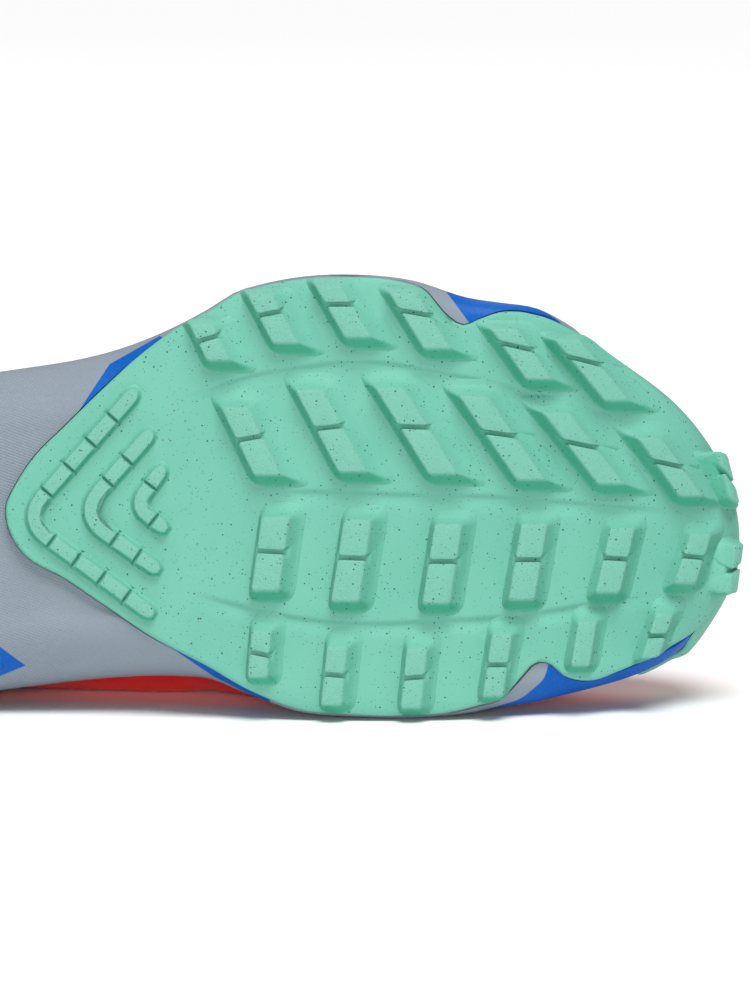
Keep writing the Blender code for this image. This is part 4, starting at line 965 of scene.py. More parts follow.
def lug_block(body, origin, corners, flanks, profile=LUG_PROFILE):
    """One block of a lug from its tip's corners and its flanks: low, front, high, rear."""
    outlines = []
    for _, share, out, radius, more in profile:
        offsets = []
        for spread, trail in flanks:
            away = out if spread > 0 else min(out, 0) * 0.6 - 0.02 * MM
            offsets.append(spread * share + trail * more + away)
        outlines.append(rounded_corners([meet(corners, offsets, n) for n in range(4)], radius))
    raised(body, origin, outlines, [row[0] * LUG_HEIGHT for row in profile], LUG_HEIGHT)


def meet(corners, offsets, n):
    """Corner n of a polygon whose sides have moved out: side n runs from corner n to the next."""
    def side(k):
        a, b = np.array(corners[k % 4]), np.array(corners[(k + 1) % 4])
        run = unit(b - a)
        normal = np.array([run[1], -run[0]])
        return a + normal * offsets[k % 4], run

    (p, r), (q, s) = side(n - 1), side(n)
    across = r[0] * s[1] - r[1] * s[0]
    t = ((q - p)[0] * s[1] - (q - p)[1] * s[0]) / across
    return p + r * t


def lug(body, row, along, across, length, width, lean, turn):
    """A leaning lug, cut across by its sipe where it has one."""
    origin = (along * SHOE_LENGTH, across * BALL_WIDTH)
    half, side = length * BALL_WIDTH / 2, width * BALL_WIDTH
    slope = math.tan(math.radians(lean))
    rear, front, lateral_end, medial_end = FLANKS[row]

    def corner(u, v):
        return u * side + v * slope, v

    def cut(u, offset):
        rise = math.tan(math.radians(turn))
        return (rise * u * side + offset) / (1 - rise * slope)

    if turn is None:
        spans = [((-half, -half), (half, half), lateral_end, medial_end)]
    else:
        gap, place = SIPE_WIDTH / 2, -SIPE_PLACE[row] * half
        low, high = place - gap, place + gap
        spans = [
            ((-half, -half), (cut(-0.5, low), cut(0.5, low)), lateral_end, (0.0, 0.0)),
            ((cut(-0.5, high), cut(0.5, high)), (half, half), (0.0, 0.0), medial_end),
        ]
    for low, high, low_spread, high_spread in spans:
        corners = [corner(-0.5, low[0]), corner(0.5, low[1]), corner(0.5, high[1]), corner(-0.5, high[0])]
        lug_block(body, origin, corners, (low_spread, front, high_spread, rear))
    if turn is not None:
        corners = [corner(-0.5, -half), corner(0.5, -half), corner(0.5, half), corner(-0.5, half)]
        lug_block(body, origin, corners, (lateral_end, front, medial_end, rear), CORE_PROFILE)


def chevron_path(lateral, bend, medial, turn_radius):
    """Plan points along a chevron at even steps, its bend rounded, and the run of the bend on it."""
    scale = (SHOE_LENGTH, BALL_WIDTH)
    a, b, c = (np.array(p) * scale for p in (lateral, bend, medial))
    r, s = unit(a - b), unit(c - b)
    start, end = b + r * turn_radius, b + s * turn_radius
    turn = [start * (1 - t) ** 2 + b * 2 * t * (1 - t) + end * t**2 for t in np.linspace(0, 1, 13)]
    line = np.array([a, *turn, c])
    steps = lengths(line)
    return line, steps, steps[1], steps[-2]


def rib_block(body, line, steps, start, end, ends):
    """One block of a chevron between two places on its line; ends says which of them are rounded off."""
    count = max(4, int((end - start) / (0.9 * MM)))
    at = np.linspace(start, end, count + 1)
    middle = read_at(at, steps, line)
    run = unit(np.gradient(middle, axis=0))
    side = np.stack([-run[:, 1], run[:, 0]], axis=1)
    half = np.full(count + 1, CHEVRON_WIDTH / 2)
    for rounded, away in zip(ends, (at - start, end - at)):
        if rounded:
            half *= soft_edge(away, 2.6 * MM, 0.86)
    outline = np.concatenate([middle + side * half[:, None], (middle - side * half[:, None])[::-1]])
    origin = middle.mean(axis=0)
    outline = outline - origin
    area = np.sum(outline[:, 0] * np.roll(outline[:, 1], -1) - outline[:, 1] * np.roll(outline[:, 0], -1))
    if area < 0:
        outline = outline[::-1]
    before, after = outline - np.roll(outline, 1, axis=0), np.roll(outline, -1, axis=0) - outline
    outs = []
    for edge in (unit(before), unit(after)):
        outs.append(np.stack([edge[:, 1], -edge[:, 0]], axis=1))
    out = outs[0] + outs[1]
    out /= (1 + (outs[0] * outs[1]).sum(1))[:, None]
    outlines = [outline + out * (RIB_SPREAD * share + away) for _, share, away in RIB_PROFILE]
    raised(body, origin, outlines, [high * CHEVRON_HEIGHT for high, *_ in RIB_PROFILE], CHEVRON_HEIGHT)


def chevron(body, lateral, bend, medial, lateral_sipes, medial_sipes):
    turn_radius = 8.5 * MM if len(lateral_sipes) > 1 else 4.0 * MM
    line, steps, first, last = chevron_path(lateral, bend, medial, turn_radius)
    corner = (first + last) / 2
    stops = [corner * share for share in lateral_sipes]
    stops += [steps[-1] - (steps[-1] - corner) * share for share in reversed(medial_sipes)]
    gap = CHEVRON_SIPE / 2
    starts = [0.0] + [stop + gap for stop in stops]
    finishes = [stop - gap for stop in stops] + [steps[-1]]
    for n, (start, end) in enumerate(zip(starts, finishes)):
        rib_block(body, line, steps, start, end, (n == 0, n == len(stops)))


def bare_side(ring):
    """1 where the foam's medial side shows below the bumper, 0 from the toe and on the lateral side."""
    return np.where(ring.medial, smooth_step(0.968, 0.935, ring.along), 0.0)


def toe_room(ring, share=0.0):
    """How far the midsole stands back at the toe for the rubber bumper."""
    room = smooth_step(BUMPER_START - 0.03, BUMPER_START + 0.01, ring.along)
    full = np.where(ring.medial, smooth_step(0.985, 0.940, ring.along), 0.0)
    room = room * (1 - 0.85 * full * smooth_step(0.95, 0.60, share))
    return (BUMPER_THICKNESS + BUMPER_CLEAR) * room


def side_radius(ring):
    """Radius of the midsole's rounded bottom edge."""
    return ring.table(SIDE_SHAPE, 1, 2) * BALL_WIDTH


def side_edge(ring):
    """Height where the midsole's rounded bottom edge turns into its side."""
    return tread(ring.points[:, 0]) + LUG_HEIGHT + SHEET_STANDS_PROUD + side_radius(ring)


def side_inset(ring, share):
    """How far the midsole's side stands in from the outline, from its bottom (0) to its rim (1)."""
    lean = ring.table(SIDE_SHAPE, 3, 4) * BALL_WIDTH * share**1.5
    return toe_room(ring, share) + lean + SIDE_STEP * smooth_step(0.455, 0.525, share)


def rim_inside(ring):
    """Inset of the midsole's cup wall from the sole's outline."""
    return side_inset(ring, 1.0) + RIM_WALL


def smooth_rows(rows, at):
    """Rows of points read from a smooth curve through them, at shares from 0 to 1."""
    rows = np.array(rows)
    at = np.asarray(at) * (len(rows) - 1)
    flat = rows.reshape(len(rows), -1)
    slopes = np.gradient(flat, axis=0)
    span = np.clip(at.astype(int), 0, len(rows) - 2)
    return hermite(flat, slopes, span, (at - span)[:, None]).reshape(len(at), *rows.shape[1:])


def bumper_rows():
    """Inside and outside of the toe bumper, from under the rubber sheet up onto the upper."""
    spread = eased(91, even=0.6)
    inner, outer = [], []
    for level, slant in enumerate((0, 0, 0.15, 0.45, 0.68, 0.82)):
        ring = Ring(spread * (BUMPER_END - slant * BUMPER_SLANT) * np.where(spread < 0, BUMPER_MEDIAL, 1))
        rim_height, stand = rim(ring.points[:, 0]), side_edge(ring)
        grow = (0.3 + 0.7 * smooth_step(BUMPER_START, BUMPER_START + 0.07, ring.along))[:, None]
        back = side_inset(ring, 1.0) - BUMPER_CLEAR
        if level == 0:
            low = ring.inset(1.9 * MM)
            inner.append(np.column_stack([low, outsole_face(low) + 0.9 * MM]))
            low = ring.inset(0.9 * MM)
            outer.append(np.column_stack([low, outsole_face(low) + 0.5 * MM]))
        elif level < 3:
            share = (0.25, 0.50)[level - 1]
            back = side_inset(ring, share) - BUMPER_CLEAR
            height = stand + (rim_height - stand) * share
            inner.append(np.column_stack([ring.inset(back), height]))
            outer.append(np.column_stack([ring.inset(back - BUMPER_THICKNESS), height]))
        else:
            base = np.column_stack([ring.inset(back), rim_height + GAP])
            if level == 3:
                inner.append(base)
                thick = 0.75 * BUMPER_THICKNESS
                outer.append(np.column_stack([ring.inset(back - thick), rim_height + BUMPER_THICKNESS]))
            else:
                share = (0.20, 0.34)[level - 4]
                points, normals = upper_surface(ring.way, share)
                inner.append(base * (1 - grow) + (points + normals * GAP) * grow)
                outer.append(inner[-1] + normals * BUMPER_THICKNESS)
    return np.array(inner), np.array(outer), spread


def toe_bumper(body):
    """Rubber that turns up round the toe, over the midsole's side and onto the upper."""
    inner, outer, spread = bumper_rows()
    at = 1 - (1 - np.linspace(0, 1, 30)) ** 1.35
    bare = bare_side(Ring(spread * BUMPER_END * np.where(spread < 0, BUMPER_MEDIAL, 1)))
    start = (BUMPER_LOW - 0.02) * bare
    shares = start[None] + (1 - start[None]) * at[:, None]
    inner, outer = (
        np.stack([smooth_rows(rows[:, [n]], shares[:, n])[:, 0] for n in range(len(spread))], axis=1)
        for rows in (inner, outer)
    )
    lip = soft_edge(1 - at, 0.07, 0.97)
    low = 1 + (soft_edge(at, 0.10, 0.97)[:, None] - 1) * smooth_step(0.0, 0.3, bare)[None]
    ends = soft_edge(1 - np.abs(spread), 0.04, 0.97)
    outer = inner + (outer - inner) * (lip[:, None] * low * ends[None, :])[..., None]
    sections = [body.add(np.concatenate([inner[:, i], outer[::-1, i]])) for i in range(len(spread))]
    body.strips(sections)
    for section in (sections[0], sections[-1]):
        half = len(section) // 2
        for k in range(half - 1):
            body.face(section[k], section[k + 1], section[-2 - k], section[-1 - k])


def forefoot_rubber(material):
    """The forefoot's sheet with its lugs, chevrons and bumper."""
    body = Mesh("tip", "shade")
    sheet(body, front_rows(), True)
    for row, *sizes in LUGS:
        if row != "heel":
            lug(body, row, *sizes)
    for rib in CHEVRONS:
        chevron(body, *rib)
    toe_bumper(body)
    return body.object("forefoot_rubber", [material], smooth=50)


def heel_rubber(material):
    """The heel's sheet with its lugs."""
    body = Mesh("tip", "shade")
    sheet(body, heel_rows(), False)
    for row, *sizes in LUGS:
        if row == "heel":
            lug(body, row, *sizes)
    return body.object("heel_rubber", [material], smooth=50)


def recess(name, rows):
    """Cutter for the room that the midsole leaves for a rubber sheet."""
    body = Mesh()
    loop = sheet_loop(rows)
    plan = np.array([rows[i][k] for i, k in loop])
    edge = plan + outward(plan) * RECESS_MARGIN
    wide = [row.copy() for row in rows]
    for (i, k), point in zip(loop, edge):
        wide[i][k] = point
    top = [above_face(row, SHEET_THICKNESS + GAP) for row in rows]
    height = np.array([top[i][k][2] for i, k in loop])
    inner = cover(body, top)
    middle = body.add(np.column_stack([edge, height + GAP]))
    bottom = cover(body, [np.column_stack([row, tread(row[:, 0]) - LUG_HEIGHT]) for row in wide])
    body.strip(inner, middle)
    body.strip(middle, bottom)
    return body.object(name, [])


def cut(target, cutters):
    """Cuts pieces out of another and removes them."""
    for cutter in cutters:
        modifier = target.modifiers.new(cutter.name, "BOOLEAN")
        modifier.operation = "DIFFERENCE"
        modifier.solver = "EXACT"
        modifier.object = cutter
    graph = bpy.context.evaluated_depsgraph_get()
    made = bpy.data.meshes.new_from_object(target.evaluated_get(graph))
    target.modifiers.clear()
    old, target.data = target.data, made
    made.name = target.name
    bpy.data.meshes.remove(old)
    for cutter in cutters:
        bpy.data.objects.remove(cutter)


def wide_rows(rows, count):
    """A recess's rows, thinned to an even number of columns."""
    thin = []
    for row in rows:
        if len(row) == 1:
            thin.append(row)
        else:
            share = np.linspace(0, 1, count + 1)[:, None]
            thin.append(row[0] * (1 - share) + row[-1] * share)
    return thin


def arch_height(points):
    """Bottom of the midsole, slightly hollow under the arch."""
    along, across = points[:, 0] / SHOE_LENGTH, points[:, 1] / BALL_WIDTH
    hollow = smooth_step(0.30, 0.40, along) * smooth_step(0.56, 0.46, along)
    hollow *= np.exp(-(((across - 0.02) / 0.22) ** 2))
    return tread(points[:, 0]) + LUG_HEIGHT + SHEET_STANDS_PROUD + 1.6 * MM * hollow


def midsole_rows():
    """Rings of the midsole's outside and of its cup."""
    ring, rows = RING, []
    radius = side_radius(ring)
    for turn in np.radians(np.linspace(0, 90, 10)):
        plan = ring.inset(toe_room(ring) + radius * (1 - math.sin(turn)))
        base = tread(plan[:, 0]) + LUG_HEIGHT + SHEET_STANDS_PROUD
        rows.append(np.column_stack([plan, base + radius * (1 - math.cos(turn))]))
    edge, top = side_edge(ring), rim(ring.points[:, 0])
    for share in (0.1, 0.2, 0.3, 0.38, 0.43, 0.45, 0.465, 0.48, 0.5, 0.515, 0.53, 0.56, 0.64, 0.74, 0.84):
        rows.append(np.column_stack([ring.inset(side_inset(ring, share)), edge + (top - edge) * share]))
    for turn in np.radians((0, 22, 45, 68, 90)):
        back = side_inset(ring, 1.0) + RIM_ROUND * (1 - math.cos(turn))
        rows.append(np.column_stack([ring.inset(back), top - RIM_ROUND * (1 - math.sin(turn))]))
    cup = ring.inset(rim_inside(ring))
    rows.append(np.column_stack([cup, top]))
    rows.append(np.column_stack([cup, footbed(cup[:, 0])]))
    return rows


def midsole(materials):
    """The foam, with its sides, its arch and its footbed."""
    body = Mesh()
    rows = [body.add(row) for row in midsole_rows()]
    body.strips(rows)
    body.across(rows[0], arch_height, 28)
    body.across(rows[-1], lambda points: footbed(points[:, 0]), 6)
    made = body.object("foam_midsole", materials, smooth=38)
    fore = recess("front_recess", wide_rows(front_rows(), RECESS_COLUMNS[0]))
    back = recess("back_recess", wide_rows(heel_rows(), RECESS_COLUMNS[1]))
    cut(made, [fore, back])
    made.data.set_sharp_from_angle(angle=math.radians(38))
    return made


def turned(share):
    return np.arccos(np.clip(1 - 2 * np.asarray(share, float), -1, 1))


def top_line(index, along):
    """A column of the top line's table, smooth round the toe and the heel."""
    rows = sorted(TOP_LINE)
    return curve([turned(row[0]) for row in rows], [row[index] for row in rows], turned(along))


def upper_point(way, share):
    """Points of the upper's outside, from the feather line (share 0) to the top line (share 1)."""
    way, share = np.broadcast_arrays(np.asarray(way, float), np.asarray(share, float))
    shape, share = way.shape, share.ravel()
    ring = Ring(way.ravel())
    foot = ring.inset(rim_inside(ring) + GAP)
    start = footbed(foot[:, 0]) + GAP
    half = np.maximum(top_line(3, ring.along), 0)
    half[ring.along >= THROAT_FRONT] = 0
    across = (top_line(2, ring.along) + np.where(ring.medial, half, -half)) * BALL_WIDTH
    top = np.stack([top_line(1, ring.along) * SHOE_LENGTH, across], axis=1)
    arc = np.radians(np.clip(top_line(5, ring.along), 18, 90))
    belly = np.where(ring.medial, top_line(7, ring.along), top_line(6, ring.along))
    up = (np.sin(arc * share) / np.sin(arc)) ** BOXINESS
    over = ((1 - np.cos(arc * share)) / (1 - np.cos(arc))) ** (1 / BOXINESS)
    swell = np.clip((share - BELLY_START) / (1 - BELLY_START), 0, 1) ** BELLY_SKEW
    plan = foot + (top - foot) * over[:, None] + ring.out * (belly * np.sin(math.pi * swell))[:, None]
    height = start + (top_line(4, ring.along) - start) * up
    return np.column_stack([plan, height]).reshape(*shape, 3)


def upper_surface(way, share):
    """Points of the upper's outside and their outward normals."""
    way, share = np.broadcast_arrays(np.mod(np.asarray(way, float), 2), np.asarray(share, float))
    step = 0.004
    low, high = np.clip(share - step, 0.0, 1.0), np.clip(share + step, 0.0, 1.0)

    def normal(way):
        run = upper_point(way + step, share) - upper_point(way - step, share)
        return unit(np.cross(upper_point(way, high) - upper_point(way, low), run))

    found = normal(way)
    ridge = (smooth_step(0.90, 1.0, share) * smooth_step(0.70, THROAT_FRONT, along_of(way)))[..., None]
    mirrored = normal(2 - way) * (1, -1, 1)
    shared = (found + mirrored) / 2 * (1, 0, 1)
    found = found * (1 - ridge) + shared * ridge
    return upper_point(way, share), unit(found)


def above_floor(points, clearance):
    """The same points, pressed up to a clearance where they would sink into the floor."""
    up = np.array(LYING)[2]
    height = points @ up[:3] + up[3]
    return points + up[:3] * np.maximum(clearance - height, 0)[..., None]


def collar_share(way):
    """1 round the ankle opening and 0 from the throat forwards."""
    return smooth_step(0.39, 0.30, along_of(way))


def wall_depth(way, share):
    """Thickness of the upper's wall: thin in front, padded round the ankle."""
    pad = collar_share(way) * smooth_step(0.45, 0.72, share)
    return UPPER_WALL + COLLAR_PAD * pad


def creases(way, share):
    """Height of the soft folds where the forefoot bends, and of slack in the mesh."""
    along = along_of(way)
    rise = 0.0
    for place, slant, size in CREASES:
        off = along - place - slant * (0.7 - share)
        ridge = 0.4 * size * np.exp(-(((off - 0.018) / 0.011) ** 2))
        rise = rise - size * np.exp(-((off / 0.009) ** 2)) + ridge
    fold = rise * smooth_step(0.30, 0.55, share) * smooth_step(1.0, 0.86, share)
    slack = 0.35 * np.sin(along * 41 + share * 5) * np.sin(share * 9 + along * 13)
    return (fold + slack * smooth_step(0.2, 0.5, share) * smooth_step(1.0, 0.8, share)) * MM


def upper(materials):
    """Mesh upper with its lining: one closed wall, rolled over at the ankle and the throat."""
    body = Mesh("around", "up")
    way = RING.way
    count = len(way)
    shares = 1 - (1 - np.linspace(0, 1, UPPER_ROWS)) ** 1.15
    size = np.linalg.norm(upper_point(way, 0.95) - upper_point(way, 1.0), axis=1) / 0.05
    closed = along_of(way) >= THROAT_FRONT - 1e-6
    radius = wall_depth(way, np.ones(count)) / 2
    edge = np.where(closed, 0, radius / size)
    around = lengths(ring_points(way))
    half = around[np.argmin(np.abs(way - 1))]
    around = np.where(way <= 1, around, 2 * half - around) / MM
    rows = []

    def row(share, depth, lift=0.0):
        points, normals = upper_surface(way, share)
        place = points - normals * np.reshape(depth, (-1, 1))
        if np.any(lift):
            below, _ = upper_surface(way, np.maximum(share - 0.02, 0))
            place = place + unit(points - below) * np.reshape(lift, (-1, 1))
        place = above_floor(place, FLOOR_CLEAR[0])
        rows.append(body.add(place, around=around, up=np.asarray(share) * 90.0))

    for share in shares:
        reach = share * (1 - edge)
        row(reach, -creases(way, reach))
    outer = len(rows)
    top = 1 - edge
    for turn in np.radians(ROLL_TURNS):
        row(top, radius * (1 - math.cos(turn)), np.where(closed, 0, radius * math.sin(turn)))
    rolled = len(rows)
    for share in shares[::-1]:
        reach = share * (1 - edge)
        row(reach, wall_depth(way, reach))
    for n, (first, second) in enumerate(zip(rows, rows[1:])):
        body.slot = 0 if n < outer + 3 else 1
        for i in range(count):
            j = (i + 1) % count
            if outer - 1 <= n < rolled and closed[i] and closed[j]:
                continue
            body.face(first[i], first[j], second[j], second[i])
    body.slot = 1
    body.strip(rows[-1], rows[0])
    return body.object("mesh_upper", materials, smooth=60)


def overlay(name, materials, way, low, high, thick, columns, swell):
    """A thin panel all round the upper between two lines of shares, its edges rounded."""
    body = Mesh("around", "up")
    across = eased(columns + 1)
    share = low[:, None] + (high - low)[:, None] * (across + 1) / 2
    ways = np.broadcast_to(way[:, None], share.shape)
    points, normals = upper_surface(ways, share)
    sides = np.sqrt(1 - np.abs(across) ** 14)
    relief = creases(ways, share)[..., None]
    relief = relief + (np.reshape(swell, (-1, 1)) * np.sqrt(1 - np.abs(across) ** 3))[..., None]
    lift = GAP * 0.3
    height = relief + lift + (thick - lift) * sides[None, :, None]
    outer = above_floor(points + normals * height, FLOOR_CLEAR[2])
    inner = above_floor(points + normals * (relief - PANEL_SUNK), FLOOR_CLEAR[1])
    body.panel(outer, inner, lengths(ring_points(way)) / MM, share)
    return body.object(name, materials, smooth=60)


def rim_share(way, rise):
    """Share of the upper's height at a rise over the midsole's rim."""
    ring = Ring(way)
    height = rim(ring.points[:, 0]) + rise
    shares = np.linspace(0, 0.9, 46)
    grid = upper_point(way[:, None], shares[None])[..., 2]
    return np.array([np.interp(h, line, shares) for h, line in zip(height, grid)])


def rand_rise(along, medial):
    """Rise of the film panel over the midsole's rim, higher under the arch on the medial side."""
    arch = smooth_step(0.28, 0.46, along) * smooth_step(0.66, 0.59, along) * medial
    return column(RAND_RISE, 1, along) + ARCH_RISE * arch, arch


def rand(materials):
    """Film panel round the foot of the upper: high at the toe and the heel, low between."""
    way = np.linspace(0, 2, 321)
    rise, arch = rand_rise(along_of(way), way > 1)
    low = rim_share(way, np.full(len(way), -RAND_UNDERLAP))
    return overlay("rand", materials, way, low, rim_share(way, rise), RAND_THICKNESS, 20, ARCH_SWELL * arch)


def side_band(name, materials, side, low_along, high_along, width):
    """A slanted band from the rand up to the eyestay, made of short rows from front to back."""
    body = Mesh("around", "up")
    count = 34
    steps = np.linspace(0, 1, count)
    across = eased(11)
    middle = low_along + (high_along - low_along) * smooth_step(-0.1, 1.0, steps)
    half = width * (1.35 - 0.5 * steps) / 2
    along = middle[:, None] + half[:, None] * across[None]
    way = way_to(along, side)
    foot = rim_share(way[:, 5], rand_rise(along[:, 5], side > 0)[0] - RAND_UNDERLAP)
    share = np.broadcast_to((foot + (0.80 - foot) * steps)[:, None], way.shape)
    points, normals = upper_surface(way, share)
    sides = np.sqrt(1 - np.abs(across) ** 12)
    ends = np.sqrt(np.clip(from_ends(count) / 2, 0, 1))
    relief = creases(way, share)[..., None]
    outer = points + normals * (relief + BAND_THICKNESS * (ends[:, None] * sides[None])[..., None])
    inner = points + normals * (relief - PANEL_SUNK)
    body.panel(above_floor(outer, FLOOR_CLEAR[2]), above_floor(inner, FLOOR_CLEAR[1]), along * 300, share)
    return body.object(name, materials, smooth=60)


def eyestay(materials):
    """Reinforced edge of the throat, rounded off in front."""
    nose, reach = EYESTAY_FRONT * SHOE_LENGTH, EYESTAY_ROUND * SHOE_LENGTH
    middle, wide = float(top_line(2, EYESTAY_FRONT)) * BALL_WIDTH, 0.94 * reach
    start, end = way_to(EYESTAY_FRONT + 0.002), way_to(THROAT_TOP - 0.02)
    body = Mesh("around", "up")
    across = np.linspace(0, 1, 19) ** 0.8
    for side in (-1, 1):
        way = start + (end - start) * np.linspace(0, 1, 130) ** 1.25
        ways = way if side < 0 else 2 - way
        trial = np.linspace(EYESTAY_LOW, 1, 90)
        grid = upper_point(ways[:, None], trial[None])
        off = np.abs(grid[..., 1] - middle) / wide
        ahead = np.clip((grid[..., 0] - (nose - reach)) / reach, 0, 1)
        inside = (off**2 + ahead**2 <= 1) | (ahead <= 0)
        first = np.argmax(inside, axis=1)
        low = smoothed(np.where(inside.any(axis=1), trial[first], 1.0), 14)
        to_rear = len(way) - 1 - np.arange(len(way))
        rear = np.clip(1 - to_rear / 12, 0, 1)
        low = low + (0.985 - low) * (1 - np.sqrt(1 - rear**2.2))
        share = low[:, None] + (1 - low)[:, None] * across[None]
        full = np.broadcast_to(ways[:, None], share.shape)
        points, normals = upper_surface(full, share)
        tail = np.sqrt(np.clip(to_rear / 2.0, 0, 1))
        open_edge = along_of(way) < THROAT_FRONT
        round_high = np.where(open_edge[:, None], soft_edge(1 - across, 0.08, 0.6)[None], 1.0)
        shape = soft_edge(across, 0.10, 0.95)[None] * round_high
        height = EYESTAY_LIFT + OVERLAY_THICKNESS * tail[:, None] * shape
        outer = points + normals * height[..., None]
        inner = points - normals * (0.2 * MM)
        run = np.arange(len(way)) * 1.2
        tops, backs = (
            [body.add(row, around=r, up=s * 90) for row, r, s in zip(grid, run, share)]
            for grid in (outer, inner)
        )
        body.strips(tops, closed=False)
        body.strips(backs, closed=False)
        for n in range(len(way) - 1):
            body.face(tops[n][0], tops[n + 1][0], backs[n + 1][0], backs[n][0])
            if open_edge[n] or open_edge[n + 1]:
                body.face(tops[n][-1], tops[n + 1][-1], backs[n + 1][-1], backs[n][-1])
        for k in range(len(across) - 1):
            body.face(tops[-1][k], tops[-1][k + 1], backs[-1][k + 1], backs[-1][k])
    return body.object("throat_overlay", materials, smooth=60)


def smoothed(values, rounds):
    """The same values with steps evened out."""
    values = np.array(values, float)
    for _ in range(rounds):
        values[1:-1] = (values[:-2] + 2 * values[1:-1] + values[2:]) / 4
    return values


def below_edge(station, side, distance, lift):
    """Point of the upper at a distance down from its top line, lifted off its surface."""
    shares = 1 - np.linspace(0, 1, 60) ** 1.5 * 0.6
    points, normals = upper_surface(np.full(60, way_to(station, side)), shares)
    down = lengths(points)
    return read_at(distance, down, points) + unit(read_at(distance, down, normals)) * lift


def resampled(points, count):
    """The same polyline with evenly spaced points."""
    run = lengths(points)
    return read_at(np.linspace(0, run[-1], count + 1), run, points)


def arched(start, end, rise, count):
    """Points between two ends, along a parabola that rises from the line between them."""
    up = np.array([-0.35, 0, 0.94])
    shares = np.linspace(0, 1, count + 2)[1:-1, None]
    return start + (end - start) * shares + up * rise * 4 * shares * (1 - shares)


def tongue_section(station):
    """Outside of the tongue across the throat: under the upper's edges and arched between."""
    under = -(UPPER_WALL + TONGUE_CLEAR)
    reach = TONGUE_UNDERLAP * (0.6 + 0.4 * float(smooth_step(THROAT_TOP, THROAT_TOP + 0.15, station)))
    sides = []
    for side in (-1, 1):
        shares = (1.0, 0.75, 0.5, 0.25, 0.0)
        sides.append(np.array([below_edge(station, side, reach * share, under) for share in shares]))
    start, end = sides[0][-1], sides[1][-1]
    middle = arched(start, end, 0.10 * np.linalg.norm(end - start), 11)
    return resampled(np.concatenate([sides[0], middle, sides[1][::-1]]), TONGUE_COLUMNS)


def tongue(materials):
    """Padded tongue with quilted channels, fast under the vamp and free above the throat."""
    body = Mesh("around", "up")
    rows = [tongue_section(station) for station in np.linspace(TONGUE_FRONT, THROAT_TOP + 0.03, 40)]
    last, before = rows[-1], rows[-10]
    run = unit(last[TONGUE_COLUMNS // 2] - before[TONGUE_COLUMNS // 2])
    across = np.linspace(-1, 1, TONGUE_COLUMNS + 1)[:, None]
    middle, place, count = last.mean(axis=0), last, 18
    for i in range(1, count + 1):
        share = i / count
        tip = math.radians(TONGUE_CURL) * share
        step = np.array([run[0] * math.cos(tip) + run[2] * math.sin(tip), 0,
                         run[2] * math.cos(tip) - run[0] * math.sin(tip)])
        bow = 0.22 * share + 0.55 * share**8
        place = place + step * TONGUE_RISE / count * (1 - bow * across**2)
        narrow = place.copy()
        narrow[:, 1] = middle[1] + (place[:, 1] - middle[1]) * (1 - TONGUE_NARROW * share - 0.06 * share**6)
        rows.append(narrow)
    outside = smoothed(rows, 3)
    normal = unit(np.cross(np.gradient(outside, axis=0), np.gradient(outside, axis=1)))
    if normal[..., 2].mean() < 0:
        normal = -normal
    up = np.arange(len(rows))[:, None] / (len(rows) - 1)
    off = np.abs(across.T)
    edge = np.sqrt(1 - off**10) * soft_edge(1 - up, 0.035, 0.98)
    thick = TONGUE_THICKNESS * (1 - 0.35 * off**3) * np.maximum(edge, 0.06)
    quilt = TONGUE_QUILT * np.cos(np.clip(off / 0.62, 0, 1) * math.pi) * smooth_step(0.35, 0.5, up)
    mid = outside - normal * (TONGUE_THICKNESS * 0.5)
    front = mid + normal * (thick * 0.5 + np.minimum(quilt, 0) * 1.2)[..., None]
    back = mid - normal * (thick * 0.5)[..., None]
    low = cover(body, list(front))
    high = cover(body, list(back))
    body.strip(low, high)
    return body.object("padded_tongue", materials, smooth=70)


def lace_path(start_station, end_station, over):
    """Middle line and upward directions of one crossing, its ends dipped into their eyelets."""
    lift = GAP + OVERLAY_THICKNESS + LACE_THICKNESS / 2
    reach = (end_station - start_station) * 0.16
    stops = [
        (start_station, -1, EYELET_DEPTH + 0.6 * MM, -0.4 * MM),
        (start_station, -1, EYELET_DEPTH - 1.6 * MM, lift + 0.5 * MM),
        (start_station + reach, -1, 0.5 * MM, lift + 1.2 * MM),
        (end_station - reach, 1, 0.5 * MM, lift + 1.2 * MM),
        (end_station, 1, EYELET_DEPTH - 1.6 * MM, lift + 0.5 * MM),
        (end_station, 1, EYELET_DEPTH + 0.6 * MM, -0.4 * MM),
    ]
    points, ups = [], []
    for station, side, depth, high in stops:
        points.append(below_edge(station, side, depth, high))
        ups.append(points[-1] - below_edge(station, side, depth, high - 1 * MM))
    rise = 0.08 * np.linalg.norm(points[3] - points[2]) + over
    middle = list(arched(points[2], points[3], rise, 3))
    between = [ups[2] * (1 - s) + ups[3] * s for s in (0.25, 0.5, 0.75)]
    line = np.array(points[:3] + middle + points[3:])
    high = np.array(ups[:3] + between + ups[3:])
    at = np.linspace(0, 1, 49)
    return smooth_rows(line, at), smooth_rows(high, at)


def flat_lace(body, line, ups, start):
    """A woven lace along a line: a flat section with rounded edges."""
    run = unit(np.gradient(line, axis=0))
    side = unit(np.cross(run, ups))
    high = np.cross(side, run)
    length = lengths(line) / MM + start
    pinch = 0.55 + 0.45 * np.clip(from_ends(len(line)) / 5, 0, 1)
    rings = []
    for i, centre in enumerate(line):
        ring, places = [], []
        for turn in np.linspace(0, 2 * math.pi, 17)[:-1]:
            a, b = math.cos(turn), math.sin(turn)
            a = math.copysign(abs(a) ** 0.5, a) * LACE_WIDTH / 2 * pinch[i]
            b = math.copysign(abs(b) ** 0.7, b) * LACE_THICKNESS / 2 * (1.6 - 0.6 * pinch[i])
            ring.append(centre + side[i] * a + high[i] * b)
            places.append(a / MM)
        rings.append(body.add(ring, around=length[i], up=places))
    body.tube(rings)


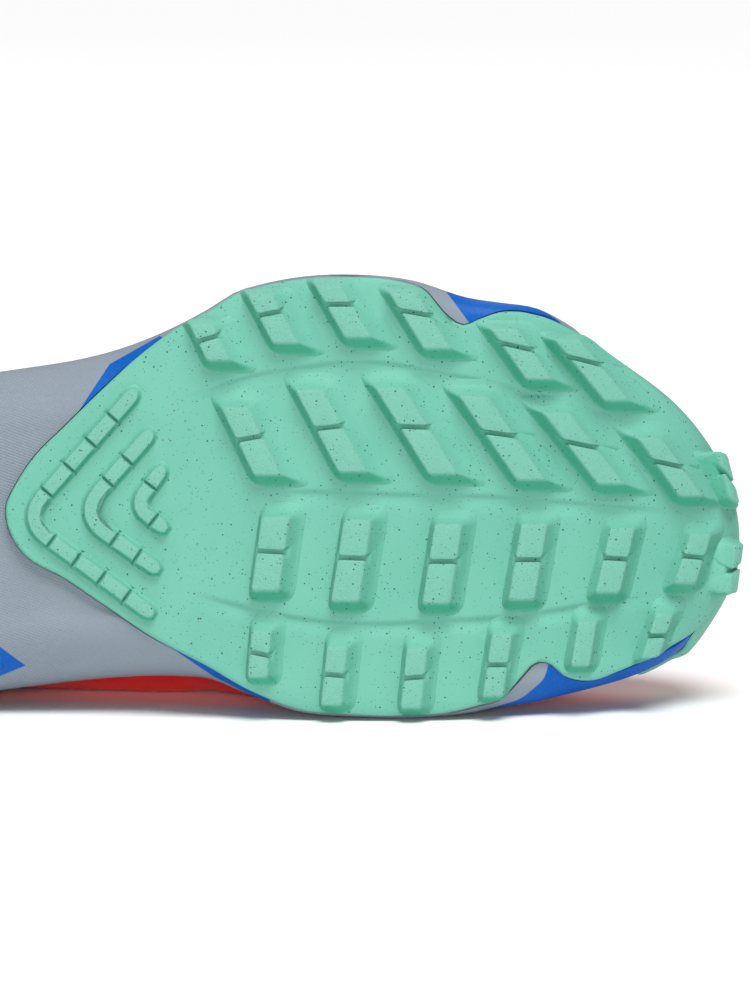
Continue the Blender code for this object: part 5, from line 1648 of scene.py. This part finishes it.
def lace(materials):
    """Criss-cross lace through the eyelets, with a straight bar in front; its ends stay inside."""
    body = Mesh("around", "up")
    flat_lace(body, *lace_path(EYELETS[0], EYELETS[0], 0.0), 0.0)
    for n, (low, high) in enumerate(zip(EYELETS, EYELETS[1:])):
        overs = (0.9 * MM, -0.9 * MM) if n % 2 else (-0.9 * MM, 0.9 * MM)
        for pair, over in zip(((low, high), (high, low)), overs):
            flat_lace(body, *lace_path(*pair, over), 80.0 * n)
    return body.object("woven_lace", materials, smooth=60)


def eyelets(materials):
    """A stitched ring at each eyelet, its hole closed by a disc of dark lining cloth that stands in for the
    hole's shade.
    """
    body = Mesh("around", "up")
    for station in EYELETS:
        for side in (-1, 1):
            base, low, high = (
                below_edge(station, side, EYELET_DEPTH, lift)
                for lift in (GAP + OVERLAY_THICKNESS * 0.92, 1 * MM, 2 * MM)
            )
            up = unit(high - low)
            ahead = unit(np.cross(up, (0, 1, 0)))
            beside = np.cross(up, ahead)
            turns = np.linspace(0, 2 * math.pi, 29)[:-1, None]
            rings = []
            for radius, rise in EYELET_PROFILE:
                circle = (ahead * np.cos(turns) + beside * np.sin(turns)) * radius + up * rise
                rings.append(body.add(circle + base))
            for n, (first, second) in enumerate(zip(rings, rings[1:])):
                body.slot = 0 if n < 5 else 1
                body.strip(first, second)
            # Painted shade: the hole is closed by a dark disc of lining cloth rather than left open
            body.slot = 1
            body.fan(rings[-1])
            body.slot = 0
    return body.object("eyelets", materials, smooth=50)


def insole(materials):
    """Fabric-topped insole, its edge rolled up against the upper's wall."""
    body = Mesh("around", "up")
    ring = RING
    base = rim_inside(ring) + UPPER_WALL + 2.5 * GAP
    rows = []
    for back, rise in INSOLE_EDGE:
        plan = ring.inset(base + back)
        rows.append(body.add(np.column_stack([plan, footbed(plan[:, 0]) + GAP + rise])))
    body.strips(rows)
    body.across(rows[0], lambda points: footbed(points[:, 0]) + GAP, 6)
    body.across(rows[-1], lambda points: footbed(points[:, 0]) + GAP + INSOLE_EDGE[-1][1], 12)
    return body.object("fabric_insole", materials, smooth=50)


def stitch_line(body, points, normals, pitch, length):
    """Short raised stitches along a line on the upper."""
    run = lengths(points)
    for at in np.arange(pitch, run[-1] - pitch, pitch):
        ends = read_at(np.array((at - length / 2, at, at + length / 2)), run, points)
        up = read_at(at, run, normals)
        side = np.cross(unit(ends[2] - ends[0]), up)
        rings = []
        for centre, size, rise in zip(ends, (0.45, 1.0, 0.45), (-0.3, 0.55, -0.3)):
            circle = []
            for turn in np.linspace(0, 2 * math.pi, 7)[:-1]:
                round_it = side * math.cos(turn) + up * (math.sin(turn) + rise)
                circle.append(centre + round_it * STITCH_RADIUS * size)
            rings.append(body.add(circle))
        body.tube(rings)


def stitches(materials):
    """Seams on the throat overlay and round the collar."""
    body = Mesh()
    for side in (-1, 1):
        way = np.linspace(way_to(0.74), way_to(0.392), 90)
        way = way if side < 0 else 2 - way
        for share in (EYESTAY_LOW + 0.022, 0.972):
            points, normals = upper_surface(way, np.full(90, share))
            raised_line = points + normals * (EYESTAY_LIFT + OVERLAY_THICKNESS)
            stitch_line(body, raised_line, normals, 2.9 * MM, 2.2 * MM)
    way = np.linspace(way_to(0.37), way_to(0.37, 1), 200)
    points, normals = upper_surface(way, np.full(200, COLLAR_SEAM))
    raised_line = points + normals * (creases(way, COLLAR_SEAM)[:, None] + 0.05 * MM)
    stitch_line(body, raised_line, normals, 3.1 * MM, 2.3 * MM)
    return body.object("seams", materials, smooth=60)


class Look:
    """A material's nodes, wired by short calls."""

    def __init__(self, name, roughness, **sockets):
        self.material = bpy.data.materials.new(name)
        self.material.use_nodes = True
        self.tree = self.material.node_tree
        self.shader = self.tree.nodes["Principled BSDF"]
        self.shader.inputs["Roughness"].default_value = roughness
        for socket, value in sockets.items():
            self.shader.inputs[socket.replace("_", " ")].default_value = value
        self.bumps = []

    def node(self, kind, settings=(), **inputs):
        made = self.tree.nodes.new("ShaderNode" + kind)
        for key, value in dict(settings).items():
            setattr(made, key, value)
        for key, value in inputs.items():
            self.put(made.inputs[int(key[1:]) if key[1:].isdigit() else key.replace("_", " ")], value)
        return made

    def put(self, socket, value):
        if isinstance(value, bpy.types.NodeSocket):
            self.tree.links.new(value, socket)
        else:
            socket.default_value = value

    def math(self, operation, first, second=0.0, third=0.0):
        return self.node("Math", {"operation": operation}, i0=first, i1=second, i2=third).outputs[0]

    def step(self, low, high, value):
        """0 below low, 1 above high, smooth between."""
        made = self.node("MapRange", {"interpolation_type": "SMOOTHSTEP"}, i0=value, i1=low, i2=high)
        return made.outputs[0]

    def shoe(self):
        """Place in the shoe's frame, in millimetres."""
        if not hasattr(self, "place"):
            place, turn, _ = LYING.decompose()
            seen = self.node("TexCoord").outputs["Object"]
            self.place = self.node("Mapping", {"vector_type": "TEXTURE"}, i0=seen).outputs[0]
            mapping = self.place.node
            mapping.inputs["Location"].default_value = place
            mapping.inputs["Rotation"].default_value = turn.to_euler()
            mapping.inputs["Scale"].default_value = (MM, MM, MM)
        return self.place

    def beyond(self, normal, offset):
        """Signed distance, in millimetres, past a plane in the shoe's frame."""
        size = math.sqrt(sum(n * n for n in normal))
        unit = tuple(n / size for n in normal)
        dot = self.node("VectorMath", {"operation": "DOT_PRODUCT"}, i0=self.shoe(), i1=unit)
        return self.math("SUBTRACT", dot.outputs["Value"], offset / size)

    def noise(self, scale, detail=2.0):
        return self.node("TexNoise", Vector=self.shoe(), Scale=scale, Detail=detail).outputs["Fac"]

    def layer(self, name):
        """Values that the piece carries at its points."""
        return self.node("Attribute", {"attribute_name": name}).outputs["Fac"]

    def mix(self, share, first, second):
        made = self.node("Mix", {"data_type": "RGBA"}, i0=share)
        self.put(made.inputs[6], first)
        self.put(made.inputs[7], second)
        return made.outputs[2]

    def bump(self, height, distance, strength=1.0):
        """Adds relief, its height in millimetres times the distance."""
        made = self.node("Bump", Height=height, Distance=distance * MM, Strength=strength)
        if self.bumps:
            self.put(made.inputs["Normal"], self.bumps[-1])
        self.bumps.append(made.outputs[0])

    def done(self, colour, roughness=None):
        self.put(self.shader.inputs["Base Color"], colour)
        if roughness is not None:
            self.put(self.shader.inputs["Roughness"], roughness)
        if self.bumps:
            self.put(self.shader.inputs["Normal"], self.bumps[-1])
        return self.material


def rubber():
    """Moulded rubber with small dark specks; the lugs' tips are stippled, and their steep flanks facing the
    floor carry painted shade.
    """
    look = Look("outsole_rubber", 0.62, Specular_IOR_Level=0.3)
    tip = look.layer("tip")
    shade = look.layer("shade")
    broad = look.noise(0.045, 3.0)
    grain = look.noise(0.9, 4.0)
    base = look.mix(look.step(0.35, 0.65, broad), MINT, MINT_WARM)
    base = look.mix(look.math("MULTIPLY", tip, 0.8), base, MINT_LIGHT)
    # Painted shade on the lugs' steep flanks that face the floor
    base = look.mix(look.math("MULTIPLY", shade, 0.7), base, MINT_PAINTED_SHADE)
    for scale, bare, small, large in SPECKS:
        spot = look.node("TexVoronoi", {"feature": "F1"}, Vector=look.shoe(), Scale=scale)
        chosen = look.node("SeparateColor", i0=spot.outputs["Color"])
        size = look.math("MULTIPLY_ADD", look.math("POWER", chosen.outputs[1], 2.0), large - small, small)
        near = look.math("SUBTRACT", size, spot.outputs["Distance"])
        kept = look.math("GREATER_THAN", chosen.outputs[0], bare)
        speck = look.math("MULTIPLY", look.step(0.0, 0.03, near), kept)
        base = look.mix(look.math("MULTIPLY", speck, 0.85), base, MINT_SPECK)
    stipple = look.node("TexVoronoi", {"feature": "SMOOTH_F1"}, Vector=look.shoe(), Scale=2.6)
    look.bump(look.math("MULTIPLY", stipple.outputs["Distance"], look.step(0.2, 0.9, tip)), 0.22, 0.8)
    look.bump(grain, 0.05)
    rough = look.math("MULTIPLY_ADD", grain, 0.18, 0.5)
    return look.done(base, rough)


def foam():
    """Grey moulded foam with a fine woven texture under the arch and blue painted zones."""
    look = Look("midsole_foam", 0.5, Specular_IOR_Level=0.18)
    x = look.node("SeparateXYZ", i0=look.shoe())
    zones = []
    for planes in BLUE_ZONES:
        zone = None
        for normal, offset in planes:
            side = look.beyond(normal, offset)
            zone = side if zone is None else look.math("MINIMUM", zone, side)
        zones.append(zone)
    blue = zones[0]
    for zone in zones[1:]:
        blue = look.math("SMOOTH_MAX", blue, zone, BLUE_ROUND)
    blue = look.step(-BLUE_BLUR, BLUE_BLUR, blue)
    broad = look.noise(0.03, 3.0)
    grain = look.noise(1.6, 3.0)
    grey = look.mix(look.step(0.3, 0.7, broad), GREY, GREY_COOL)
    grey = look.mix(look.math("MULTIPLY", look.step(0.45, 0.75, grain), 0.25), grey, GREY_DARK)
    base = look.mix(blue, grey, look.mix(look.step(0.3, 0.7, grain), BLUE, BLUE_DARK))
    weave = []
    for turn, strength in WEAVE_LINES:
        place = look.node("VectorRotate", {"rotation_type": "Z_AXIS"}, Vector=look.shoe(), Angle=turn)
        wave = look.node("TexWave", {"wave_profile": "SIN"}, Vector=place.outputs[0],
                         Scale=WEAVE_SCALE, Distortion=0.8)
        weave.append(look.math("MULTIPLY", wave.outputs["Fac"], strength))
    cross = look.math("ADD", weave[0], weave[1])
    behind = look.step(158.0, 120.0, x.outputs[0])
    under = look.math("MULTIPLY", behind, look.step(20.0, 13.0, x.outputs[2]))
    plain = look.math("SUBTRACT", 1.0, blue)
    look.bump(look.math("MULTIPLY", cross, look.math("MULTIPLY", under, plain)), 0.13, 0.8)
    look.bump(grain, 0.02)
    return look.done(base, look.math("MULTIPLY_ADD", blue, -0.1, 0.55))


def knit(look, size, depth, relief):
    """Small offset holes on the piece's own around and up measures, in millimetres."""
    around = look.layer("around")
    up = look.layer("up")
    row = look.math("FLOOR", look.math("DIVIDE", up, size * 0.87))
    shift = look.math("MULTIPLY", look.math("MODULO", row, 2.0), size / 2)
    along = look.math("PINGPONG", look.math("ADD", around, shift), size / 2)
    high = look.math("PINGPONG", up, size * 0.435)
    first = look.math("SUBTRACT", along, size * 0.25)
    second = look.math("SUBTRACT", high, size * 0.2175)
    squares = look.math("POWER", first, 2.0), look.math("POWER", second, 2.0)
    radius = look.math("SQRT", look.math("ADD", *squares))
    hole = look.step(size * 0.17, size * 0.09, radius)
    look.bump(look.math("SUBTRACT", 1.0, hole), depth)
    look.bump(look.noise(3.0, 3.0), relief)
    return hole


def mesh_fabric():
    """Engineered mesh with rows of small holes, each hole darkened with painted shade."""
    look = Look("upper_fabric", 0.72, Sheen_Weight=0.25, Sheen_Roughness=0.5)
    hole = knit(look, MESH_PITCH, 0.35, 0.05)
    broad = look.noise(0.06, 3.0)
    base = look.mix(look.step(0.35, 0.65, broad), CRIMSON, CRIMSON_DARK)
    # Painted shade inside each knit hole
    base = look.mix(look.math("MULTIPLY", hole, 0.8), base, CRIMSON_HOLE_SHADE)
    thread_tone = look.noise(1.4, 3.0)
    base = look.mix(look.math("MULTIPLY", look.step(0.4, 0.7, thread_tone), 0.25), base, CRIMSON_LIGHT)
    return look.done(base, look.math("MULTIPLY_ADD", thread_tone, 0.2, 0.6))


def lining():
    """Soft brushed lining."""
    look = Look("lining", 0.9, Sheen_Weight=0.4, Sheen_Roughness=0.6)
    nap = look.noise(1.8, 4.0)
    look.bump(nap, 0.12)
    return look.done(look.mix(look.step(0.3, 0.7, nap), LINING, LINING_LIGHT))


def glossy(name, first, second):
    """Smooth fused film with a faint grain."""
    look = Look(name, 0.34, Coat_Weight=0.35, Coat_Roughness=0.25)
    grain = look.noise(0.8, 4.0)
    broad = look.noise(0.08, 2.0)
    look.bump(grain, 0.03)
    share = look.math("MULTIPLY", look.step(0.3, 0.7, broad), 0.4)
    return look.done(look.mix(share, first, second), look.math("MULTIPLY_ADD", grain, 0.16, 0.26))


def tongue_fabric():
    """Grey cloth with a fine square weave."""
    look = Look("tongue_fabric", 0.85, Sheen_Weight=0.3, Sheen_Roughness=0.5)
    place = look.shoe()
    waves = []
    for axis in ("X", "Y"):
        made = look.node("TexWave", {"bands_direction": axis}, Vector=place, Scale=0.42, Distortion=0.6)
        waves.append(made.outputs["Fac"])
    cross = look.math("MULTIPLY", waves[0], waves[1])
    look.bump(cross, 0.18)
    base = look.mix(cross, TONGUE_SHADE, TONGUE_GREY)
    return look.done(base)


def lace_weave():
    """Flat woven lace with slanted yarns."""
    look = Look("lace_fabric", 0.8, Sheen_Weight=0.2, Sheen_Roughness=0.5)
    around = look.layer("around")
    up = look.layer("up")
    yarns = []
    for slope in (1.0, -1.0):
        lean = look.math("MULTIPLY_ADD", up, slope, around)
        yarns.append(look.math("PINGPONG", lean, 0.55))
    weave = look.math("MAXIMUM", yarns[0], yarns[1])
    look.bump(weave, 0.35)
    base = look.mix(look.step(0.1, 0.5, weave), LACE_SHADE, LACE_MINT)
    return look.done(base)


def insole_fabric():
    """Blue brushed cloth."""
    look = Look("insole_fabric", 0.9, Sheen_Weight=0.3, Sheen_Roughness=0.5)
    nap = look.noise(1.5, 4.0)
    look.bump(nap, 0.1)
    return look.done(look.mix(look.step(0.3, 0.7, nap), INSOLE_BLUE, INSOLE_LIGHT))


def thread():
    """Twisted red sewing thread."""
    look = Look("seam_thread", 0.6)
    twist = look.noise(4.0, 2.0)
    look.bump(twist, 0.05)
    return look.done(look.mix(twist, THREAD_SHADE, THREAD))


def camera():
    """Square to the sole, with the photograph's frame on the forefoot."""
    data = bpy.data.cameras.new("camera")
    data.lens = LENS
    data.clip_end = 20
    made = bpy.data.objects.new("camera", data)
    bpy.context.collection.objects.link(made)
    away = VIEW_WIDTH / data.sensor_width * data.lens * MM
    facing = Matrix(((1, 0, 0), (0, -1, 0), (0, 0, -1))).to_4x4()
    made.matrix_world = LYING @ Matrix.Translation(VIEW_CENTRE - Vector((0, 0, away))) @ facing
    bpy.context.scene.camera = made


def area_light(name, place, aim, size, power):
    """A rectangular light at a place in metres, turned towards its aim."""
    data = bpy.data.lights.new(name, "AREA")
    data.shape = "RECTANGLE"
    data.size, data.size_y = size
    data.energy = power
    made = bpy.data.objects.new(name, data)
    made.location = place
    made.rotation_euler = (Vector(aim) - Vector(place)).to_track_quat("-Z", "Y").to_euler()
    bpy.context.collection.objects.link(made)


def sky_light(name, towards, spread, strength):
    """A broad light from far off, even over the whole floor."""
    data = bpy.data.lights.new(name, "SUN")
    data.angle = spread
    data.energy = strength
    made = bpy.data.objects.new(name, data)
    made.rotation_euler = Vector(towards).to_track_quat("Z", "Y").to_euler()
    bpy.context.collection.objects.link(made)


def stage():
    """Plain pale floor, soft studio light and a white surround."""
    scene = bpy.context.scene
    scene.view_settings.view_transform = "Standard"
    world = bpy.data.worlds.new("surround")
    world.use_nodes = True
    tree = world.node_tree
    back = tree.nodes["Background"]
    back.inputs["Color"].default_value = (1, 1, 1, 1)
    seen = tree.nodes.new("ShaderNodeLightPath").outputs["Is Camera Ray"]
    strength = tree.nodes.new("ShaderNodeMapRange")
    strength.inputs["To Min"].default_value = SURROUND
    strength.inputs["To Max"].default_value = 1.0
    tree.links.new(seen, strength.inputs["Value"])
    tree.links.new(strength.outputs[0], back.inputs["Strength"])
    scene.world = world
    mesh = bpy.data.meshes.new("floor")
    corners = [(x * FLOOR_REACH, y * FLOOR_REACH, 0) for x, y in ((-1, -1), (1, -1), (1, 1), (-1, 1))]
    mesh.from_pydata(corners, [], [(0, 1, 2, 3)])
    made = bpy.data.objects.new("floor", mesh)
    bpy.context.collection.objects.link(made)
    look = Look("floor", 0.7)
    tone = look.node("TexNoise", Scale=3.0, Detail=2.0).outputs["Fac"]
    mesh.materials.append(look.done(look.mix(tone, FLOOR, FLOOR_LIGHT)))
    sky_light("key", (0.12, -0.40, 1.0), KEY_ANGLE, KEY_STRENGTH)
    area_light("front", (-0.05, -1.75, 0.26), (-0.02, 0, 0.02), (0.9, 0.4), FRONT_POWER)
    area_light("back", (-0.1, 1.2, 1.4), (0.0, 0, 0.05), (1.0, 1.0), BACK_POWER)


def keep(made, slot, *nodes, padded=None):
    """Puts a piece on the body and hides the nodes that it replaces; its slot is not used."""
    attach(made, "root")
    if nodes:
        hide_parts(*nodes)


def main():
    """Dresses the part."""
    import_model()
    camera()
    stage()
    mint, grey = rubber(), foam()
    keep(forefoot_rubber(mint), "outsole_rubber", "outsole_forefoot")
    keep(heel_rubber(mint), "outsole_rubber", "outsole_heel")
    keep(midsole([grey]), "midsole_foam", "midsole")
    red, lined = mesh_fabric(), lining()
    film, band = glossy("rand_film", RED, RED_DARK), glossy("band_film", BLUE, BLUE_DARK)
    keep(upper([red, lined]), "upper_fabric", "upper")
    keep(rand([film]), "upper_fabric")
    for side, name in ((-1, "lateral"), (1, "medial")):
        keep(side_band(f"{name}_saddle", [band], side, *SADDLE), "upper_fabric")
    keep(eyestay([glossy("throat_film", BLUE, BLUE_DARK)]), "eyestay_overlay", "eyestay")
    keep(eyelets([glossy("eyelet_ring", BLUE_DARK, BLUE), lined]), "eyestay_overlay")
    keep(tongue([tongue_fabric()]), "tongue_fabric", "tongue", padded=0.6)
    keep(lace([lace_weave()]), "lace_fabric", "lace")
    keep(insole([insole_fabric()]), "insole_fabric", "insole")
    keep(stitches([thread()]), "upper_fabric")


main()
